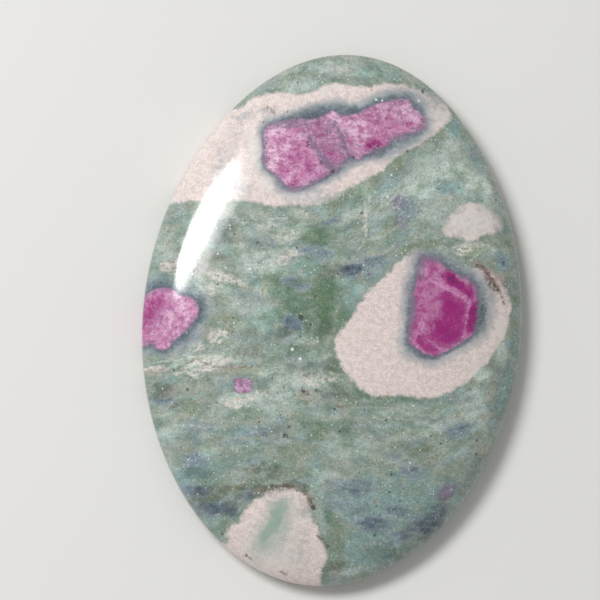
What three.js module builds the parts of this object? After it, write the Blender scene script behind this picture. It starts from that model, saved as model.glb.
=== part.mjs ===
// A polished oval cabochon of ruby in fuchsite: one piece of rock with a low dome on a flat back.
// The ruby crystals, their blue rims and the white feldspar are ground flush, so the form is one solid.
// Millimetres, +Z up, the origin at the centre of the flat back, the long axis along +Y.
import * as THREE from "three";
import { mergeVertices } from "three/addons/utils/BufferGeometryUtils.js";

// Driving dimensions.
const LENGTH = 50; // along Y
const WIDTH = 36; // along X
const THICKNESS = 6.6; // from the flat back to the top of the dome
const GIRDLE_TOP = 1.9; // where the wall turns into the dome
const WALL_FOOT = 0.75; // where the worn back edge turns into the wall
const BACK_INSET = 0.95; // how far the flat back stops inside the widest outline
const WALL_LEAN = 0.12; // how far the wall's foot stands inside its top

// The dome is a superellipse: share^ACROSS + rise^UP = 1. Over 2 it is fuller than an ellipse.
const DOME_ACROSS = 2.15;
const DOME_UP = 1.95;

// The hand-cut outline, as shares of the ellipse's radius.
const DIAGONAL_CUT = 0.0128; // ground in a little between the ends and the sides
const THREEFOLD_CUT = 0.0054; // one end a little blunter than the other

// Fineness of the faceted solid.
const SPOKES = 112;
const DOME_RINGS = 24;
const EDGE_STEPS = 5;
const WELD_DISTANCE = 1e-4; // vertices nearer than this are one

const POLISH = { color: 0x93aa9c, roughness: 0.16, metalness: 0 };

const halfWidth = WIDTH / 2;
const halfLength = LENGTH / 2;

// Half of the section, from the centre of the back round the edge to the top of the dome.
// x is the share of the outline's radius and y is the height in millimetres.
function sectionPoints() {
  const share = (inset) => 1 - inset / halfWidth;
  const wallMiddle = (WALL_FOOT + GIRDLE_TOP) / 2;
  const wallLineAtBack = (WALL_LEAN * wallMiddle) / (wallMiddle - WALL_FOOT);
  const edge = new THREE.Path();
  edge.moveTo(share(BACK_INSET), 0);
  edge.quadraticCurveTo(share(wallLineAtBack), 0, share(WALL_LEAN), WALL_FOOT);
  edge.quadraticCurveTo(1, wallMiddle, 1, GIRDLE_TOP);

  const dome = [];
  const rise = THICKNESS - GIRDLE_TOP;
  for (let ring = 1; ring < DOME_RINGS; ring++) {
    const turn = ((ring / DOME_RINGS) * Math.PI) / 2;
    dome.push(
      new THREE.Vector2(
        Math.cos(turn) ** (2 / DOME_ACROSS),
        GIRDLE_TOP + rise * Math.sin(turn) ** (2 / DOME_UP),
      ),
    );
  }
  return [
    new THREE.Vector2(0, 0),
    ...edge.getPoints(EDGE_STEPS),
    ...dome,
    new THREE.Vector2(0, THICKNESS),
  ];
}

// The outline's radius at an angle, as a share of the true ellipse's.
function handCut(angle) {
  return 1 - DIAGONAL_CUT * Math.sin(2 * angle) ** 2 - THREEFOLD_CUT * Math.sin(3 * angle);
}

// The section turned round the upright axis, stretched to the hand-cut oval and centred on its box.
function cabochonGeometry() {
  const turned = new THREE.LatheGeometry(sectionPoints(), SPOKES).rotateX(Math.PI / 2);
  const position = turned.getAttribute("position");
  for (let i = 0; i < position.count; i++) {
    const x = position.getX(i);
    const y = position.getY(i);
    const factor = handCut(Math.atan2(y, x));
    position.setXY(i, x * factor * halfWidth, y * factor * halfLength);
  }
  turned.deleteAttribute("normal");
  turned.deleteAttribute("uv");
  const closed = mergeVertices(turned, WELD_DISTANCE);
  closed.computeBoundingBox();
  const centre = closed.boundingBox.getCenter(new THREE.Vector3());
  closed.translate(-centre.x, -centre.y, 0);
  closed.computeVertexNormals();
  return closed;
}

const stone = new THREE.Mesh(cabochonGeometry(), new THREE.MeshStandardMaterial(POLISH));
stone.name = "ruby_in_fuchsite_stone";

const cabochon = new THREE.Group();
cabochon.name = "ruby_in_fuchsite_cabochon";
cabochon.add(stone);

export default cabochon;
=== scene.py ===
"""A polished oval cabochon of ruby in fuchsite on a pale studio floor.

The stone is one closed mesh with the frame's own section and outline. Its minerals are worked out as
distances and strengths in millimetres, kept on the mesh as attributes, and the rock's material turns
them into crystals, jackets, patches, seams and painted glints under one polish.
"""

from __future__ import annotations

import logging
import math
from dataclasses import dataclass, field, replace
from enum import Enum

import bpy
import numpy as np
from mathutils import Matrix, Vector

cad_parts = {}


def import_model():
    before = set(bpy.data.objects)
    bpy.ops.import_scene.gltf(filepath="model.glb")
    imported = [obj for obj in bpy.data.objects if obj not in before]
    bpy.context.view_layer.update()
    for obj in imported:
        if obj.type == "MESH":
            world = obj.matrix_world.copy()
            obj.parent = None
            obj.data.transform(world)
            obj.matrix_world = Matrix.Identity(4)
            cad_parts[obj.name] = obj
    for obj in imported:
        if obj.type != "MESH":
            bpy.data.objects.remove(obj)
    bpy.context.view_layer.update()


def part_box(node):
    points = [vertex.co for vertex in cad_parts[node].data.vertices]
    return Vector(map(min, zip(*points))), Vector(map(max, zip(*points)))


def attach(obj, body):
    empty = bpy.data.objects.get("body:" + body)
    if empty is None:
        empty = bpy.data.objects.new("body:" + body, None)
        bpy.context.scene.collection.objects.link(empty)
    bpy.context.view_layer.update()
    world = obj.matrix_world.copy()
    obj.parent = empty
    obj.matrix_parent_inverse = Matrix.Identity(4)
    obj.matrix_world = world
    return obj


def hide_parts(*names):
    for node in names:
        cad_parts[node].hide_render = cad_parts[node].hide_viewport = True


STONE_NODE = "ruby_in_fuchsite_stone"
STONE_SLOT = "polished_ruby_in_fuchsite"
BODY = "root"
MM = 0.001  # one millimetre in metres
SEED = 11

log = logging.getLogger("cabochon")
Array = np.ndarray
Pair = tuple[float, float]
Points = tuple[Pair, ...]
Size = tuple[float, float, float]
Colour = tuple[float, float, float, float]
Socket = bpy.types.NodeSocket
Tree = bpy.types.NodeTree
Feed = Socket | float | tuple[float, ...]  # a shader socket, or the value that one is set to


# ---------------------------------------------------------------------------------------------
# Plane shapes that the minerals are made from, all in millimetres as seen from above
# ---------------------------------------------------------------------------------------------


class Edge(Enum):
    """How an outline runs between its points."""

    STRAIGHT = 1
    CURVED = 6  # the number of short chords from each point to the next


def smooth_step(low: float, high: float, value: Array) -> Array:
    """Rises from 0 at low to 1 at high along 3t^2 - 2t^3. Falls where low is over high."""
    share = np.clip((value - low) / (high - low), 0.0, 1.0)
    return share * share * (3.0 - 2.0 * share)


def curved(points: Array, chords: int) -> Array:
    """Rounds a closed outline with a Catmull-Rom curve through its points.

    Args:
        points: the outline's points, one row each.
        chords: how many chords replace each side.

    Returns:
        The points of the rounded outline.
    """
    a, b, c, d = (np.roll(points, shift, axis=0)[:, None, :] for shift in (1, 0, -1, -2))
    share = (np.arange(chords) / chords)[None, :, None]
    square = 2 * a - 5 * b + 4 * c - d
    cube = 3 * b - a - 3 * c + d
    curve = (2 * b + (c - a) * share + square * share**2 + cube * share**3) / 2
    return curve.reshape(-1, 2)


def distance_to_chain(points: Array, x: Array, y: Array, closed: bool) -> Array:
    """Distance to a chain of straight sides: the least of the distances to each side's nearest point.

    Args:
        points: the chain's points.
        x: where to measure.
        y: where to measure.
        closed: joins the last point to the first, and makes the distance negative inside.

    Returns:
        The distance at each place.
    """
    nearest = np.full(x.shape, np.inf)
    inside = np.zeros(x.shape, bool)
    ends = np.roll(points, -1, axis=0)
    for (ax, ay), (bx, by) in list(zip(points, ends))[: len(points) if closed else -1]:
        run, rise = bx - ax, by - ay
        along = np.clip(((x - ax) * run + (y - ay) * rise) / (run * run + rise * rise), 0.0, 1.0)
        nearest = np.minimum(nearest, np.hypot(x - ax - along * run, y - ay - along * rise))
        crossed = (ay > y) != (by > y)
        inside ^= crossed & (x < ax + (y - ay) * run / (rise if rise else 1.0))
    return np.where(inside, -nearest, nearest) if closed else nearest


class Wander:
    """Smooth random drift: a lattice of seeded numbers, blended between its points."""

    SIDE = 32  # lattice steps before it repeats
    START = 100.0  # lattice steps from its corner to the stone's middle

    def __init__(self, seed: int) -> None:
        """Fills the lattice from the seed."""
        self.lattice = np.random.default_rng(seed).uniform(-1.0, 1.0, (self.SIDE,) * 3)

    def at(self, x: Array, y: Array, z: Array, reach: float) -> Array:
        """The drift, -1 to 1, at each place: smooth-stepped blends of the eight lattice points round it.

        Args:
            x: place in millimetres.
            y: place in millimetres.
            z: place in millimetres.
            reach: the lattice's step in millimetres.

        Returns:
            The drift.
        """
        scaled = [axis / reach + self.START for axis in (x, y, z)]
        base = [np.floor(axis).astype(int) for axis in scaled]
        blend = [smooth_step(0.0, 1.0, axis - low) for axis, low in zip(scaled, base)]
        total = np.zeros(x.shape)
        for corner in range(8):
            steps = (corner & 1, corner >> 1 & 1, corner >> 2)
            weight = np.ones(x.shape)
            for share, step in zip(blend, steps):
                weight = weight * (share if step else 1.0 - share)
            index = tuple((low + step) % self.SIDE for low, step in zip(base, steps))
            total += weight * self.lattice[index]
        return total


# ---------------------------------------------------------------------------------------------
# What lies where in the stone
# ---------------------------------------------------------------------------------------------


@dataclass(frozen=True)
class Deposit:
    """A body of one mineral that the polished face cuts through.

    Attributes:
        outline: its edge on the dome, as x and y.
        edge: whether the outline is faceted or rounded.
        lean: how far it shifts along x and y for each millimetre down.
        taper: how much its edge draws in for each millimetre down.
        top: the depth at which it begins.
        moved: shift of the whole outline, for a body that repeats another's shape.
        scale: size of the outline against the one given.
        grade: how deep a crystal's colour is, from 0 to 1 and a little over, or how far a jacket fades out
            towards its outer edge, from 0 to 1.
    """

    outline: Points
    edge: Edge = Edge.CURVED
    lean: Pair = (0.2, 0.1)
    taper: float = 0.1
    top: float = -1.0
    moved: Pair = (0.0, 0.0)
    scale: float = 1.0
    grade: float = 0.0

    def distance(self, x: Array, y: Array, depth: Array) -> Array:
        """Distance from its surface, negative inside: the outline's, sheared and drawn in with depth."""
        points = np.array(self.outline) * self.scale + np.array(self.moved)
        points = curved(points, self.edge.value) if self.edge is Edge.CURVED else points
        level = distance_to_chain(points, x - self.lean[0] * depth, y - self.lean[1] * depth, closed=True)
        return np.maximum(level + self.taper * depth, self.top - depth)


@dataclass(frozen=True)
class Patch:
    """A cloud of colour: an ellipse that is full inside and fades out across its edge.

    Attributes:
        x: its centre.
        y: its centre.
        half_length: from the centre to the edge along the turn.
        half_width: from the centre to the edge across the turn.
        strength: inside, where 1 is the mineral's full colour.
        turn: degrees from +X, along the rock's layers unless given.
    """

    FULL = 0.35  # share of the way to the edge where the fade starts
    GONE = 1.35  # and where it ends

    x: float
    y: float
    half_length: float
    half_width: float
    strength: float
    turn: float = 6.0

    def amount(self, x: Array, y: Array) -> Array:
        """Strength at each place: full to a third of the way out, and gone a third past the edge."""
        cos, sin = math.cos(math.radians(self.turn)), math.sin(math.radians(self.turn))
        along = ((x - self.x) * cos + (y - self.y) * sin) / self.half_length
        across = ((y - self.y) * cos - (x - self.x) * sin) / self.half_width
        return self.strength * smooth_step(self.GONE, self.FULL, np.hypot(along, across))


Patches = tuple[Patch, ...]


def patches(*rows: tuple[float, ...]) -> Patches:
    """Patches from rows of centre x and y, half length, half width, strength and, where given, turn."""
    return tuple(Patch(*row) for row in rows)


@dataclass(frozen=True)
class Thread:
    """A thin line of mineral along a chain of points, half_width to each side."""

    half_width: float
    points: Points

    def distance(self, x: Array, y: Array) -> Array:
        """Distance from the thread's edge, negative inside."""
        return distance_to_chain(np.array(self.points), x, y, closed=False) - self.half_width


Threads = tuple[Thread, ...]


def threads(*rows: tuple[float | Pair, ...]) -> Threads:
    """Threads from rows of half width and then each point."""
    return tuple(Thread(row[0], row[1:]) for row in rows)


LONG_RUBY: Points = (
    (-8.6, 16.9), (-7.5, 17.4), (-6.2, 17.8), (-4.2, 18.2), (-3.0, 18.8), (-2.5, 19.1), (-1.7, 18.8),
    (-0.2, 19.2), (1.1, 20.0), (2.3, 20.5), (4.3, 21.1), (5.2, 20.4), (5.8, 20.0), (6.4, 19.3), (6.2, 18.5),
    (4.8, 17.8), (3.4, 17.1), (2.6, 16.3), (1.1, 15.5), (0.2, 14.8), (-0.5, 15.0), (-1.2, 14.4), (-1.8, 13.6),
    (-2.6, 13.0), (-3.8, 12.1), (-5.3, 11.3), (-6.1, 11.4), (-7.0, 12.2), (-8.4, 13.3), (-8.7, 14.8),
)
LONG_JACKET: Points = (
    (-9.1, 16.9), (-8.2, 17.9), (-6.5, 18.5), (-5.4, 19.1), (-4.2, 19.6), (-3.1, 20.0), (-1.9, 20.2),
    (-0.8, 20.1), (0.1, 20.2), (0.7, 20.7), (1.7, 21.3), (2.7, 21.7), (4.0, 22.0), (5.1, 22.0), (6.1, 21.5),
    (6.6, 20.5), (7.2, 19.8), (7.2, 18.9), (6.9, 18.1), (6.0, 17.3), (4.8, 16.5), (3.8, 15.7), (2.6, 15.1),
    (1.1, 14.7), (-0.6, 14.0), (-1.2, 13.2), (-2.2, 12.5), (-3.6, 11.7), (-4.9, 10.9), (-6.0, 10.7),
    (-7.1, 11.2), (-7.9, 12.2), (-8.9, 13.0), (-9.1, 14.9),
)
LONG_HALO: Points = (
    (-15.5, 18.0), (-11.4, 18.5), (-9.8, 19.7), (-7.7, 20.4), (-5.6, 20.4), (-4.3, 20.9), (-3.0, 21.6),
    (-2.0, 21.8), (0.4, 21.8), (2.3, 22.4), (4.3, 22.5), (6.1, 22.1), (8.1, 21.5), (9.0, 20.5), (8.8, 19.6),
    (7.6, 18.3), (5.8, 16.8), (3.7, 15.4), (2.9, 14.4), (1.9, 13.5), (-0.2, 12.3), (-1.3, 11.4),
    (-2.8, 10.4), (-4.2, 10.0), (-5.8, 9.8), (-7.2, 9.5), (-8.5, 9.7), (-10.7, 9.8), (-14.5, 9.3),
    (-16.1, 9.2), (-20.0, 9.0),
)
SQUARE_RUBY: Points = (
    (6.9, 6.1), (7.8, 6.4), (8.6, 6.3), (9.1, 5.8), (9.8, 5.5), (10.6, 5.1), (11.6, 4.9), (12.3, 4.4),
    (12.8, 3.6), (12.9, 2.5), (13.0, 1.3), (12.8, 0.3), (12.6, -0.4), (11.7, -1.1), (10.7, -1.8),
    (9.8, -2.3), (9.1, -2.8), (8.2, -2.6), (7.4, -2.3), (6.5, -1.7), (6.3, -0.8), (6.4, 0.6), (6.4, 2.1),
    (6.5, 3.4), (6.7, 4.7),
)
SQUARE_JACKET: Points = (
    (5.9, 6.1), (6.6, 7.0), (7.5, 7.4), (8.5, 7.3), (9.5, 7.1), (10.6, 6.8), (11.7, 6.4), (12.7, 5.8),
    (13.6, 5.0), (14.4, 3.9), (14.7, 2.4), (14.5, 1.0), (13.9, -0.3), (12.6, -1.4), (11.3, -2.1),
    (10.2, -3.0), (9.1, -3.6), (8.0, -3.6), (6.8, -3.3), (5.9, -2.8), (5.5, -1.8), (5.6, -0.8), (5.6, 0.3),
    (5.4, 1.9), (5.4, 3.5), (5.7, 4.8),
)
SQUARE_HALO: Points = (
    (6.4, 6.9), (5.6, 6.3), (4.7, 5.6), (4.2, 4.8), (3.5, 4.0), (2.3, 2.7), (1.5, 1.5), (0.7, -0.1),
    (0.0, -1.2), (-0.5, -2.0), (-0.5, -2.8), (-0.2, -3.7), (0.4, -4.7), (1.3, -5.6), (2.3, -6.4),
    (3.7, -7.0), (5.2, -6.8), (6.7, -6.6), (8.5, -6.7), (9.7, -6.4), (10.9, -5.8), (12.0, -5.1),
    (12.8, -4.5), (13.6, -3.6), (14.4, -2.6), (15.1, -1.4), (15.7, -0.4), (16.2, 0.9), (16.4, 2.2),
    (16.2, 3.3), (15.2, 4.9), (13.6, 6.0), (12.7, 6.0), (8.8, 6.1), (7.1, 6.8),
)
EDGE_RUBY: Points = (
    (-21.0, 0.1), (-18.0, 0.3), (-17.2, 1.0), (-15.8, 1.0), (-15.0, 0.5), (-14.2, 0.4), (-13.6, 0.0),
    (-13.3, -0.7), (-13.4, -1.5), (-14.2, -2.7), (-15.2, -3.8), (-15.6, -4.4), (-16.0, -4.7), (-16.6, -4.6),
    (-17.3, -4.3), (-21.0, -4.6),
)
EDGE_JACKET: Points = (
    (-20.7, 2.2), (-18.0, 2.3), (-16.8, 2.4), (-15.8, 2.1), (-14.7, 1.7), (-13.6, 1.4), (-12.7, 1.0),
    (-12.1, 0.1), (-12.0, -1.0), (-12.4, -2.2), (-13.0, -3.5), (-13.7, -4.4), (-14.7, -4.9), (-15.8, -5.3),
    (-17.1, -5.2), (-19.9, -5.5),
)
LITTLE_RUBY: Points = (
    (-9.4, -6.9), (-8.6, -6.6), (-7.9, -6.7), (-7.7, -7.4), (-8.0, -7.8), (-8.8, -8.0), (-9.2, -7.7),
)
SMALL_HALO: Points = (
    (8.7, 9.1), (9.0, 9.9), (9.8, 10.9), (10.4, 11.6), (11.3, 12.0), (12.4, 12.0), (13.5, 11.6),
    (14.7, 10.8), (14.9, 10.1), (14.4, 9.7), (13.1, 9.2), (12.0, 8.6), (11.3, 8.4), (10.4, 8.7), (9.3, 8.6),
)
FOOT_HALO: Points = (
    (-9.1, -22.7), (-8.1, -21.8), (-8.3, -21.1), (-8.0, -20.2), (-7.4, -19.8), (-7.1, -19.1), (-6.9, -18.4),
    (-6.4, -17.8), (-5.7, -17.3), (-4.8, -16.7), (-4.1, -16.5), (-2.9, -16.3), (-2.1, -16.5), (-1.5, -17.0),
    (-1.2, -17.9), (-0.9, -18.7), (-0.5, -19.2), (0.1, -20.3), (0.7, -21.4), (1.1, -22.3), (0.8, -23.2),
    (0.9, -24.4), (1.3, -26.8), (-8.6, -27.7),
)
SQUARE_WINDOW: Points = (
    (9.4, 3.3), (10.2, 3.0), (11.2, 2.7), (11.6, 2.1), (11.6, 1.2), (11.6, 0.0), (11.0, -1.0), (10.2, -1.6),
    (9.4, -1.4), (8.7, -0.8), (8.8, 0.2), (9.3, 0.9), (9.2, 1.8), (9.3, 2.6),
)
TOP_WINDOW: Points = (
    (9.5, 5.3), (9.8, 5.2), (10.6, 4.9), (11.0, 4.4), (11.5, 4.0), (12.2, 3.8), (12.2, 3.3), (11.4, 3.4),
    (10.5, 3.7), (9.6, 4.0), (9.4, 4.5), (9.3, 4.9),
)
RIGHT_WINDOW: Points = (
    (12.2, 2.4), (12.8, 2.6), (13.0, 1.9), (13.0, 0.9), (12.7, 0.1), (12.1, 0.4), (12.0, 1.5),
)
LOW_WINDOW: Points = (
    (7.1, -1.6), (7.6, -1.2), (8.3, -1.6), (9.1, -1.8), (9.4, -2.2), (9.0, -2.4), (8.0, -2.3), (7.4, -2.0),
)
ROUND_WINDOW: Points = (
    (0.8, 16.2), (1.1, 16.7), (1.6, 16.9), (2.2, 16.9), (2.5, 16.5), (2.3, 16.1), (1.6, 15.8), (1.0, 15.9),
)
# On the edge ruby this deep wedge keeps the crystal's own colour; the crystal round it is painted paler, a
# painted reflection.
EDGE_WINDOW: Points = (
    (-16.2, 0.6), (-16.4, -1.1), (-17.0, -1.8), (-17.4, -2.6), (-17.4, -3.3), (-18.3, -3.3),
    (-18.6, -0.5), (-16.8, 0.3),
)


PATCHES: dict[str, Patches] = {
    "core": patches(  # where a ruby is thick and deep
        (-5.1, 14.6, 0.8, 0.6, 0.7), (-5.4, 14.3, 1.4, 1.1, 0.45), (-6.6, 12.8, 0.7, 0.5, 0.45),
        (-4.5, 13.5, 0.8, 0.6, 0.4), (-5.5, 12.0, 0.7, 0.4, 0.5, 21), (2.6, 19.1, 0.3, 0.5, 0.7, -24),
        (3.1, 18.2, 0.8, 0.3, 0.6, 11), (5.1, 18.8, 0.6, 0.4, 0.9), (-3.5, 16.6, 0.5, 0.2, 1.4, 21),
        (-2.6, 15.1, 0.6, 0.5, 0.5), (-3.9, 17.9, 0.3, 0.3, 1.3), (-0.4, 15.3, 0.2, 0.6, 1.2, 21),
        (3.9, 20.5, 0.6, 0.2, 0.6), (4.3, 19.5, 0.3, 0.6, 0.6, 26), (1.2, 18.7, 0.6, 0.8, 0.4, 26),
        (2.4, 17.8, 0.5, 0.4, 0.5), (4.0, 18.0, 0.7, 0.3, 0.4, 16), (1.7, 16.2, 0.8, 0.4, 0.7, 14),
        (10.2, 4.7, 1.2, 0.6, 0.45, -36), (10.0, 1.9, 0.7, 0.9, 0.3, -6), (9.9, -0.2, 1.2, 0.9, 0.3, -6),
        (-17.6, -1.3, 1.0, 2.2, 0.35, -6), (8.3, 5.5, 0.3, 0.3, 0.5), (6.9, 4.6, 0.3, 0.8, 0.2, 16),
        (8.4, -0.2, 0.6, 0.3, 0.4, 66),
    ),
    "bleach_and_painted_reflection": patches(  # where a ruby is broken and pale, and over the edge ruby a painted reflection that pales it
        (4.9, 20.1, 1.9, 1.0, 1.0), (-8.0, 16.7, 1.5, 1.0, 1.0), (2.4, 19.6, 3.2, 0.8, 0.5, 18),
        (7.1, 5.1, 0.8, 1.1, 0.8, 16), (-1.3, 18.4, 1.3, 0.8, 0.5, 16), (8.4, 5.5, 0.8, 0.8, 0.4),
        (5.8, 19.5, 0.5, 0.8, 0.9, -24), (-2.5, 18.9, 0.6, 0.3, 0.7, 16), (-14.6, -1.8, 1.7, 2.4, 0.4, -14),
        (-8.1, 14.6, 0.8, 2.1, 1.0), (-7.6, 16.6, 1.1, 0.7, 1.0, 16), (-0.3, 17.9, 1.3, 0.9, 0.55, 26),
        (-2.0, 18.5, 0.7, 0.6, 0.8), (3.8, 20.8, 1.1, 0.3, 0.5, 16), (0.4, 16.5, 1.1, 0.8, 0.5, 16),
        (7.8, 2.6, 0.8, 1.9, 0.12, 1), (8.0, 5.1, 0.8, 0.9, 0.3), (11.3, 4.6, 0.8, 0.4, 1.0, -32),
        (12.4, 3.0, 0.4, 0.8, 0.4), (8.2, 4.0, 1.3, 0.3, 0.2, -19), (1.2, 19.6, 1.3, 0.5, 0.3, 21),
        (-5.4, 16.0, 0.8, 0.6, 0.4), (-6.8, 15.3, 1.0, 0.9, 0.5), (8.8, 3.5, 0.8, 0.8, 0.2),
        (6.9, -0.8, 0.3, 0.9, 0.3, 16),
    ),
    "dusting": patches(  # grey dust in the rubies, their jackets and the feldspar
        (9.0, 9.9, 0.5, 1.1, 0.7), (14.2, 11.6, 0.6, 0.9, 0.6, -24), (-12.2, 12.3, 1.1, 1.1, 0.6),
        (-5.0, 10.9, 2.6, 0.6, 0.5, 14), (-10.5, 10.6, 1.5, 0.9, 0.5), (-2.4, 14.0, 1.3, 0.8, 0.5),
        (-0.5, 15.6, 0.8, 1.1, 0.45), (-4.9, -22.4, 2.3, 1.1, 0.4), (-11.6, 13.5, 1.1, 2.3, 0.4),
        (-4.3, -17.4, 1.5, 0.8, 0.6), (-2.7, 15.4, 0.8, 1.1, 0.5, -4), (12.8, 11.5, 1.2, 0.6, 0.8, -19),
        (6.9, 5.3, 0.6, 1.1, 0.8, 14), (-2.7, 17.5, 0.6, 0.9, 0.8, -16), (-3.0, 15.5, 0.8, 1.1, 0.3, -14),
        (-1.3, 16.2, 0.6, 1.7, 0.9, -12), (6.4, 2.1, 0.4, 2.6, 1.2), (6.5, -0.6, 0.4, 1.1, 0.7, 21),
        (-0.5, 14.1, 1.3, 0.6, 0.8, 31), (6.5, 19.2, 0.4, 0.8, 0.6, -24), (7.8, 6.3, 1.1, 0.5, 1.2, 0),
        (-6.4, 17.5, 2.3, 0.5, 1.0, 11), (-3.8, 18.0, 0.9, 0.4, 0.9, 11), (-1.9, 13.7, 0.8, 0.7, 0.9, 26),
        (-4.6, 11.6, 2.3, 0.5, 0.9, 28), (6.0, 18.5, 0.6, 0.7, 0.6, -29), (6.8, 5.5, 0.5, 0.8, 0.9, 21),
        (11.1, 5.2, 1.1, 0.4, 0.6, -29), (9.3, 5.4, 0.3, 0.6, 0.5, 26), (3.4, 19.2, 3.2, 1.3, 0.25, 11),
        (-1.1, 15.5, 0.9, 1.3, 0.3), (-1.8, -18.1, 0.8, 1.2, 0.6), (-10.5, 10.8, 1.4, 0.9, 0.7),
        (-12.3, 13.7, 0.9, 1.7, 0.5), (6.2, 1.3, 0.3, 2.8, 0.6), (7.1, 4.8, 0.6, 0.9, 0.5, 16),
        (3.4, 19.7, 3.2, 1.7, 0.22, 11), (-3.1, 16.3, 1.7, 1.4, 0.5), (0.0, 15.8, 0.9, 0.9, 0.4),
        (12.6, 3.9, 0.4, 0.8, 0.6), (7.4, 20.9, 1.0, 1.5, 1.0, 36), (14.2, 10.6, 0.9, 1.2, 0.9),
        (10.3, 11.0, 0.8, 0.5, 0.6, 46), (11.4, 10.2, 1.9, 1.1, 0.45), (9.5, 9.6, 0.5, 0.7, 0.5),
        (-4.1, 10.7, 2.8, 0.7, 0.8, 12), (-6.4, 11.0, 2.1, 0.7, 0.5), (6.4, 6.7, 1.1, 0.6, 0.9, 10),
        (-1.3, -21.8, 1.3, 3.0, 0.4), (-8.6, -7.3, 1.0, 0.8, 0.6), (-8.5, 18.4, 1.1, 0.5, 0.5, 26),
        (-10.7, 17.7, 1.3, 0.8, 0.7, 26), (-11.3, 16.0, 1.1, 0.8, 0.4, 26), (11.9, 11.0, 0.8, 0.5, 0.5),
        (10.7, 9.2, 0.8, 0.5, 0.5), (-4.9, 17.2, 0.5, 1.1, 0.6, -9), (3.2, 20.3, 2.3, 0.4, 0.45, 18),
        (-8.6, 14.7, 0.4, 1.9, 0.6), (-7.3, 12.1, 1.1, 0.5, 0.6, -29), (1.8, 15.5, 1.7, 0.4, 0.7, 26),
        (4.4, 17.3, 1.5, 0.4, 0.7, 31), (-16.6, -1.9, 1.3, 2.4, 0.3),
    ),
    "moss": patches(  # deep green mica
        (-2.6, 3.9, 1.5, 0.9, 0.5, 11), (-2.2, -1.7, 1.6, 1.1, 0.65), (-5.3, -18.7, 0.8, 0.9, 0.5),
        (-3.9, 0.4, 3.6, 3.0, 0.62, 11), (-1.7, 1.2, 1.7, 3.4, 0.85, 14), (0.0, -0.5, 1.2, 1.7, 0.7),
        (-0.1, -5.7, 1.4, 1.7, 0.55), (-1.2, -10.8, 0.9, 1.1, 0.6), (-5.4, 2.4, 2.6, 1.3, 0.6, 11),
        (-3.0, 7.2, 2.3, 1.3, 0.7, 21), (0.2, -4.9, 1.3, 2.4, 0.7, -49), (3.4, -6.7, 2.6, 0.7, 0.8),
        (7.3, -6.9, 2.8, 0.5, 0.5, 11), (-2.3, -9.8, 0.9, 2.6, 0.3, 11), (1.4, -10.4, 1.1, 1.9, 0.5),
        (1.3, -19.2, 0.9, 2.4, 0.6, 16), (0.5, -2.6, 0.8, 1.3, 0.6), (-4.6, -3.8, 1.9, 0.8, 0.5, 16),
        (-4.5, 4.6, 1.9, 0.9, 0.4, 16), (0.1, -8.2, 1.5, 0.8, 0.3),
    ),
    "olive": patches(  # olive mica
        (5.4, -15.4, 1.3, 0.8, 0.4), (8.6, -15.2, 2.1, 0.8, 0.4), (-9.9, -17.6, 2.3, 0.8, 0.7, 16),
        (9.6, -11.7, 2.3, 0.8, 0.7), (1.7, -22.6, 2.1, 1.1, 0.5, 11), (8.1, -21.1, 1.3, 0.8, 0.5),
        (-5.8, -16.3, 2.8, 0.7, 0.5, 11), (-0.8, 11.1, 2.8, 0.5, 0.65, 31), (3.4, 14.6, 3.0, 0.8, 0.7, 44),
        (6.3, 7.0, 2.4, 0.7, 1.0, 21), (11.7, 7.4, 2.1, 0.7, 0.8, 14), (14.4, 8.7, 1.1, 0.6, 0.6, 31),
        (-13.4, -9.8, 1.5, 0.6, 0.8, 14), (-10.0, -16.9, 1.9, 0.9, 0.5, 26),
        (-2.9, -12.9, 2.4, 0.9, 0.5, 16), (-4.8, -14.9, 2.8, 0.9, 0.5, 16), (4.0, 22.6, 1.3, 0.4, 0.6, 1),
        (0.7, 22.4, 1.1, 0.3, 0.4), (-9.0, -6.0, 2.4, 0.3, 0.7, 11), (-10.6, -1.6, 1.1, 1.2, 0.6),
        (16.0, 0.6, 0.5, 2.4, 0.6, 1), (12.6, 6.3, 1.5, 0.8, 0.4, -9), (1.9, -20.5, 0.8, 1.9, 0.6, 21),
        (-11.2, -13.3, 1.7, 0.8, 0.35, 16), (12.3, -13.0, 1.7, 0.8, 0.35, 16), (1.5, -8.1, 2.8, 0.5, 0.3),
    ),
    "teal": patches(  # blue-green mica, where more painted glints show
        (-3.5, 4.2, 1.9, 0.9, 0.6, 11), (-5.1, 1.2, 1.9, 1.3, 0.55), (9.0, 13.2, 1.4, 0.8, 1.0),
        (9.5, 19.0, 1.0, 1.3, 0.9, -39), (7.9, 20.8, 0.8, 0.6, 0.6, -34), (-0.4, 23.4, 2.1, 0.8, 0.45, 1),
        (2.8, 23.4, 1.5, 0.8, 0.5, -9), (-15.3, -7.5, 1.3, 0.8, 1.0), (-11.8, -15.8, 3.2, 2.1, 0.7, 11),
        (-9.8, -18.3, 1.1, 0.9, 0.8, 16), (-11.7, 5.5, 1.7, 0.8, 0.4), (6.7, -16.6, 7.3, 3.0, 0.75, 11),
        (5.2, -21.0, 4.7, 2.1, 0.7, 11), (-6.6, -3.8, 1.4, 0.7, 0.6), (3.2, 12.7, 1.6, 0.8, 0.6, 31),
        (-3.0, 5.3, 1.7, 1.1, 0.5), (0.7, 1.9, 1.3, 1.7, 0.7), (3.2, 3.8, 1.3, 0.9, 0.5, 36),
        (14.9, 6.9, 0.9, 1.1, 0.7), (14.7, 13.4, 0.8, 1.1, 0.5, -54), (11.1, -5.8, 2.1, 0.9, 0.5, 16),
        (-8.4, -11.4, 2.8, 0.9, 0.45, 11), (-6.5, -1.0, 1.9, 1.3, 0.5), (12.0, 15.8, 1.3, 1.1, 0.6, -44),
        (16.5, -4.6, 0.8, 2.6, 0.8, -4), (-6.3, -13.9, 3.4, 0.9, 0.35, 11), (-13.6, -12.8, 2.4, 1.3, 0.4),
    ),
    "pale": patches(  # pale mica, and chalk in the feldspar
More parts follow.
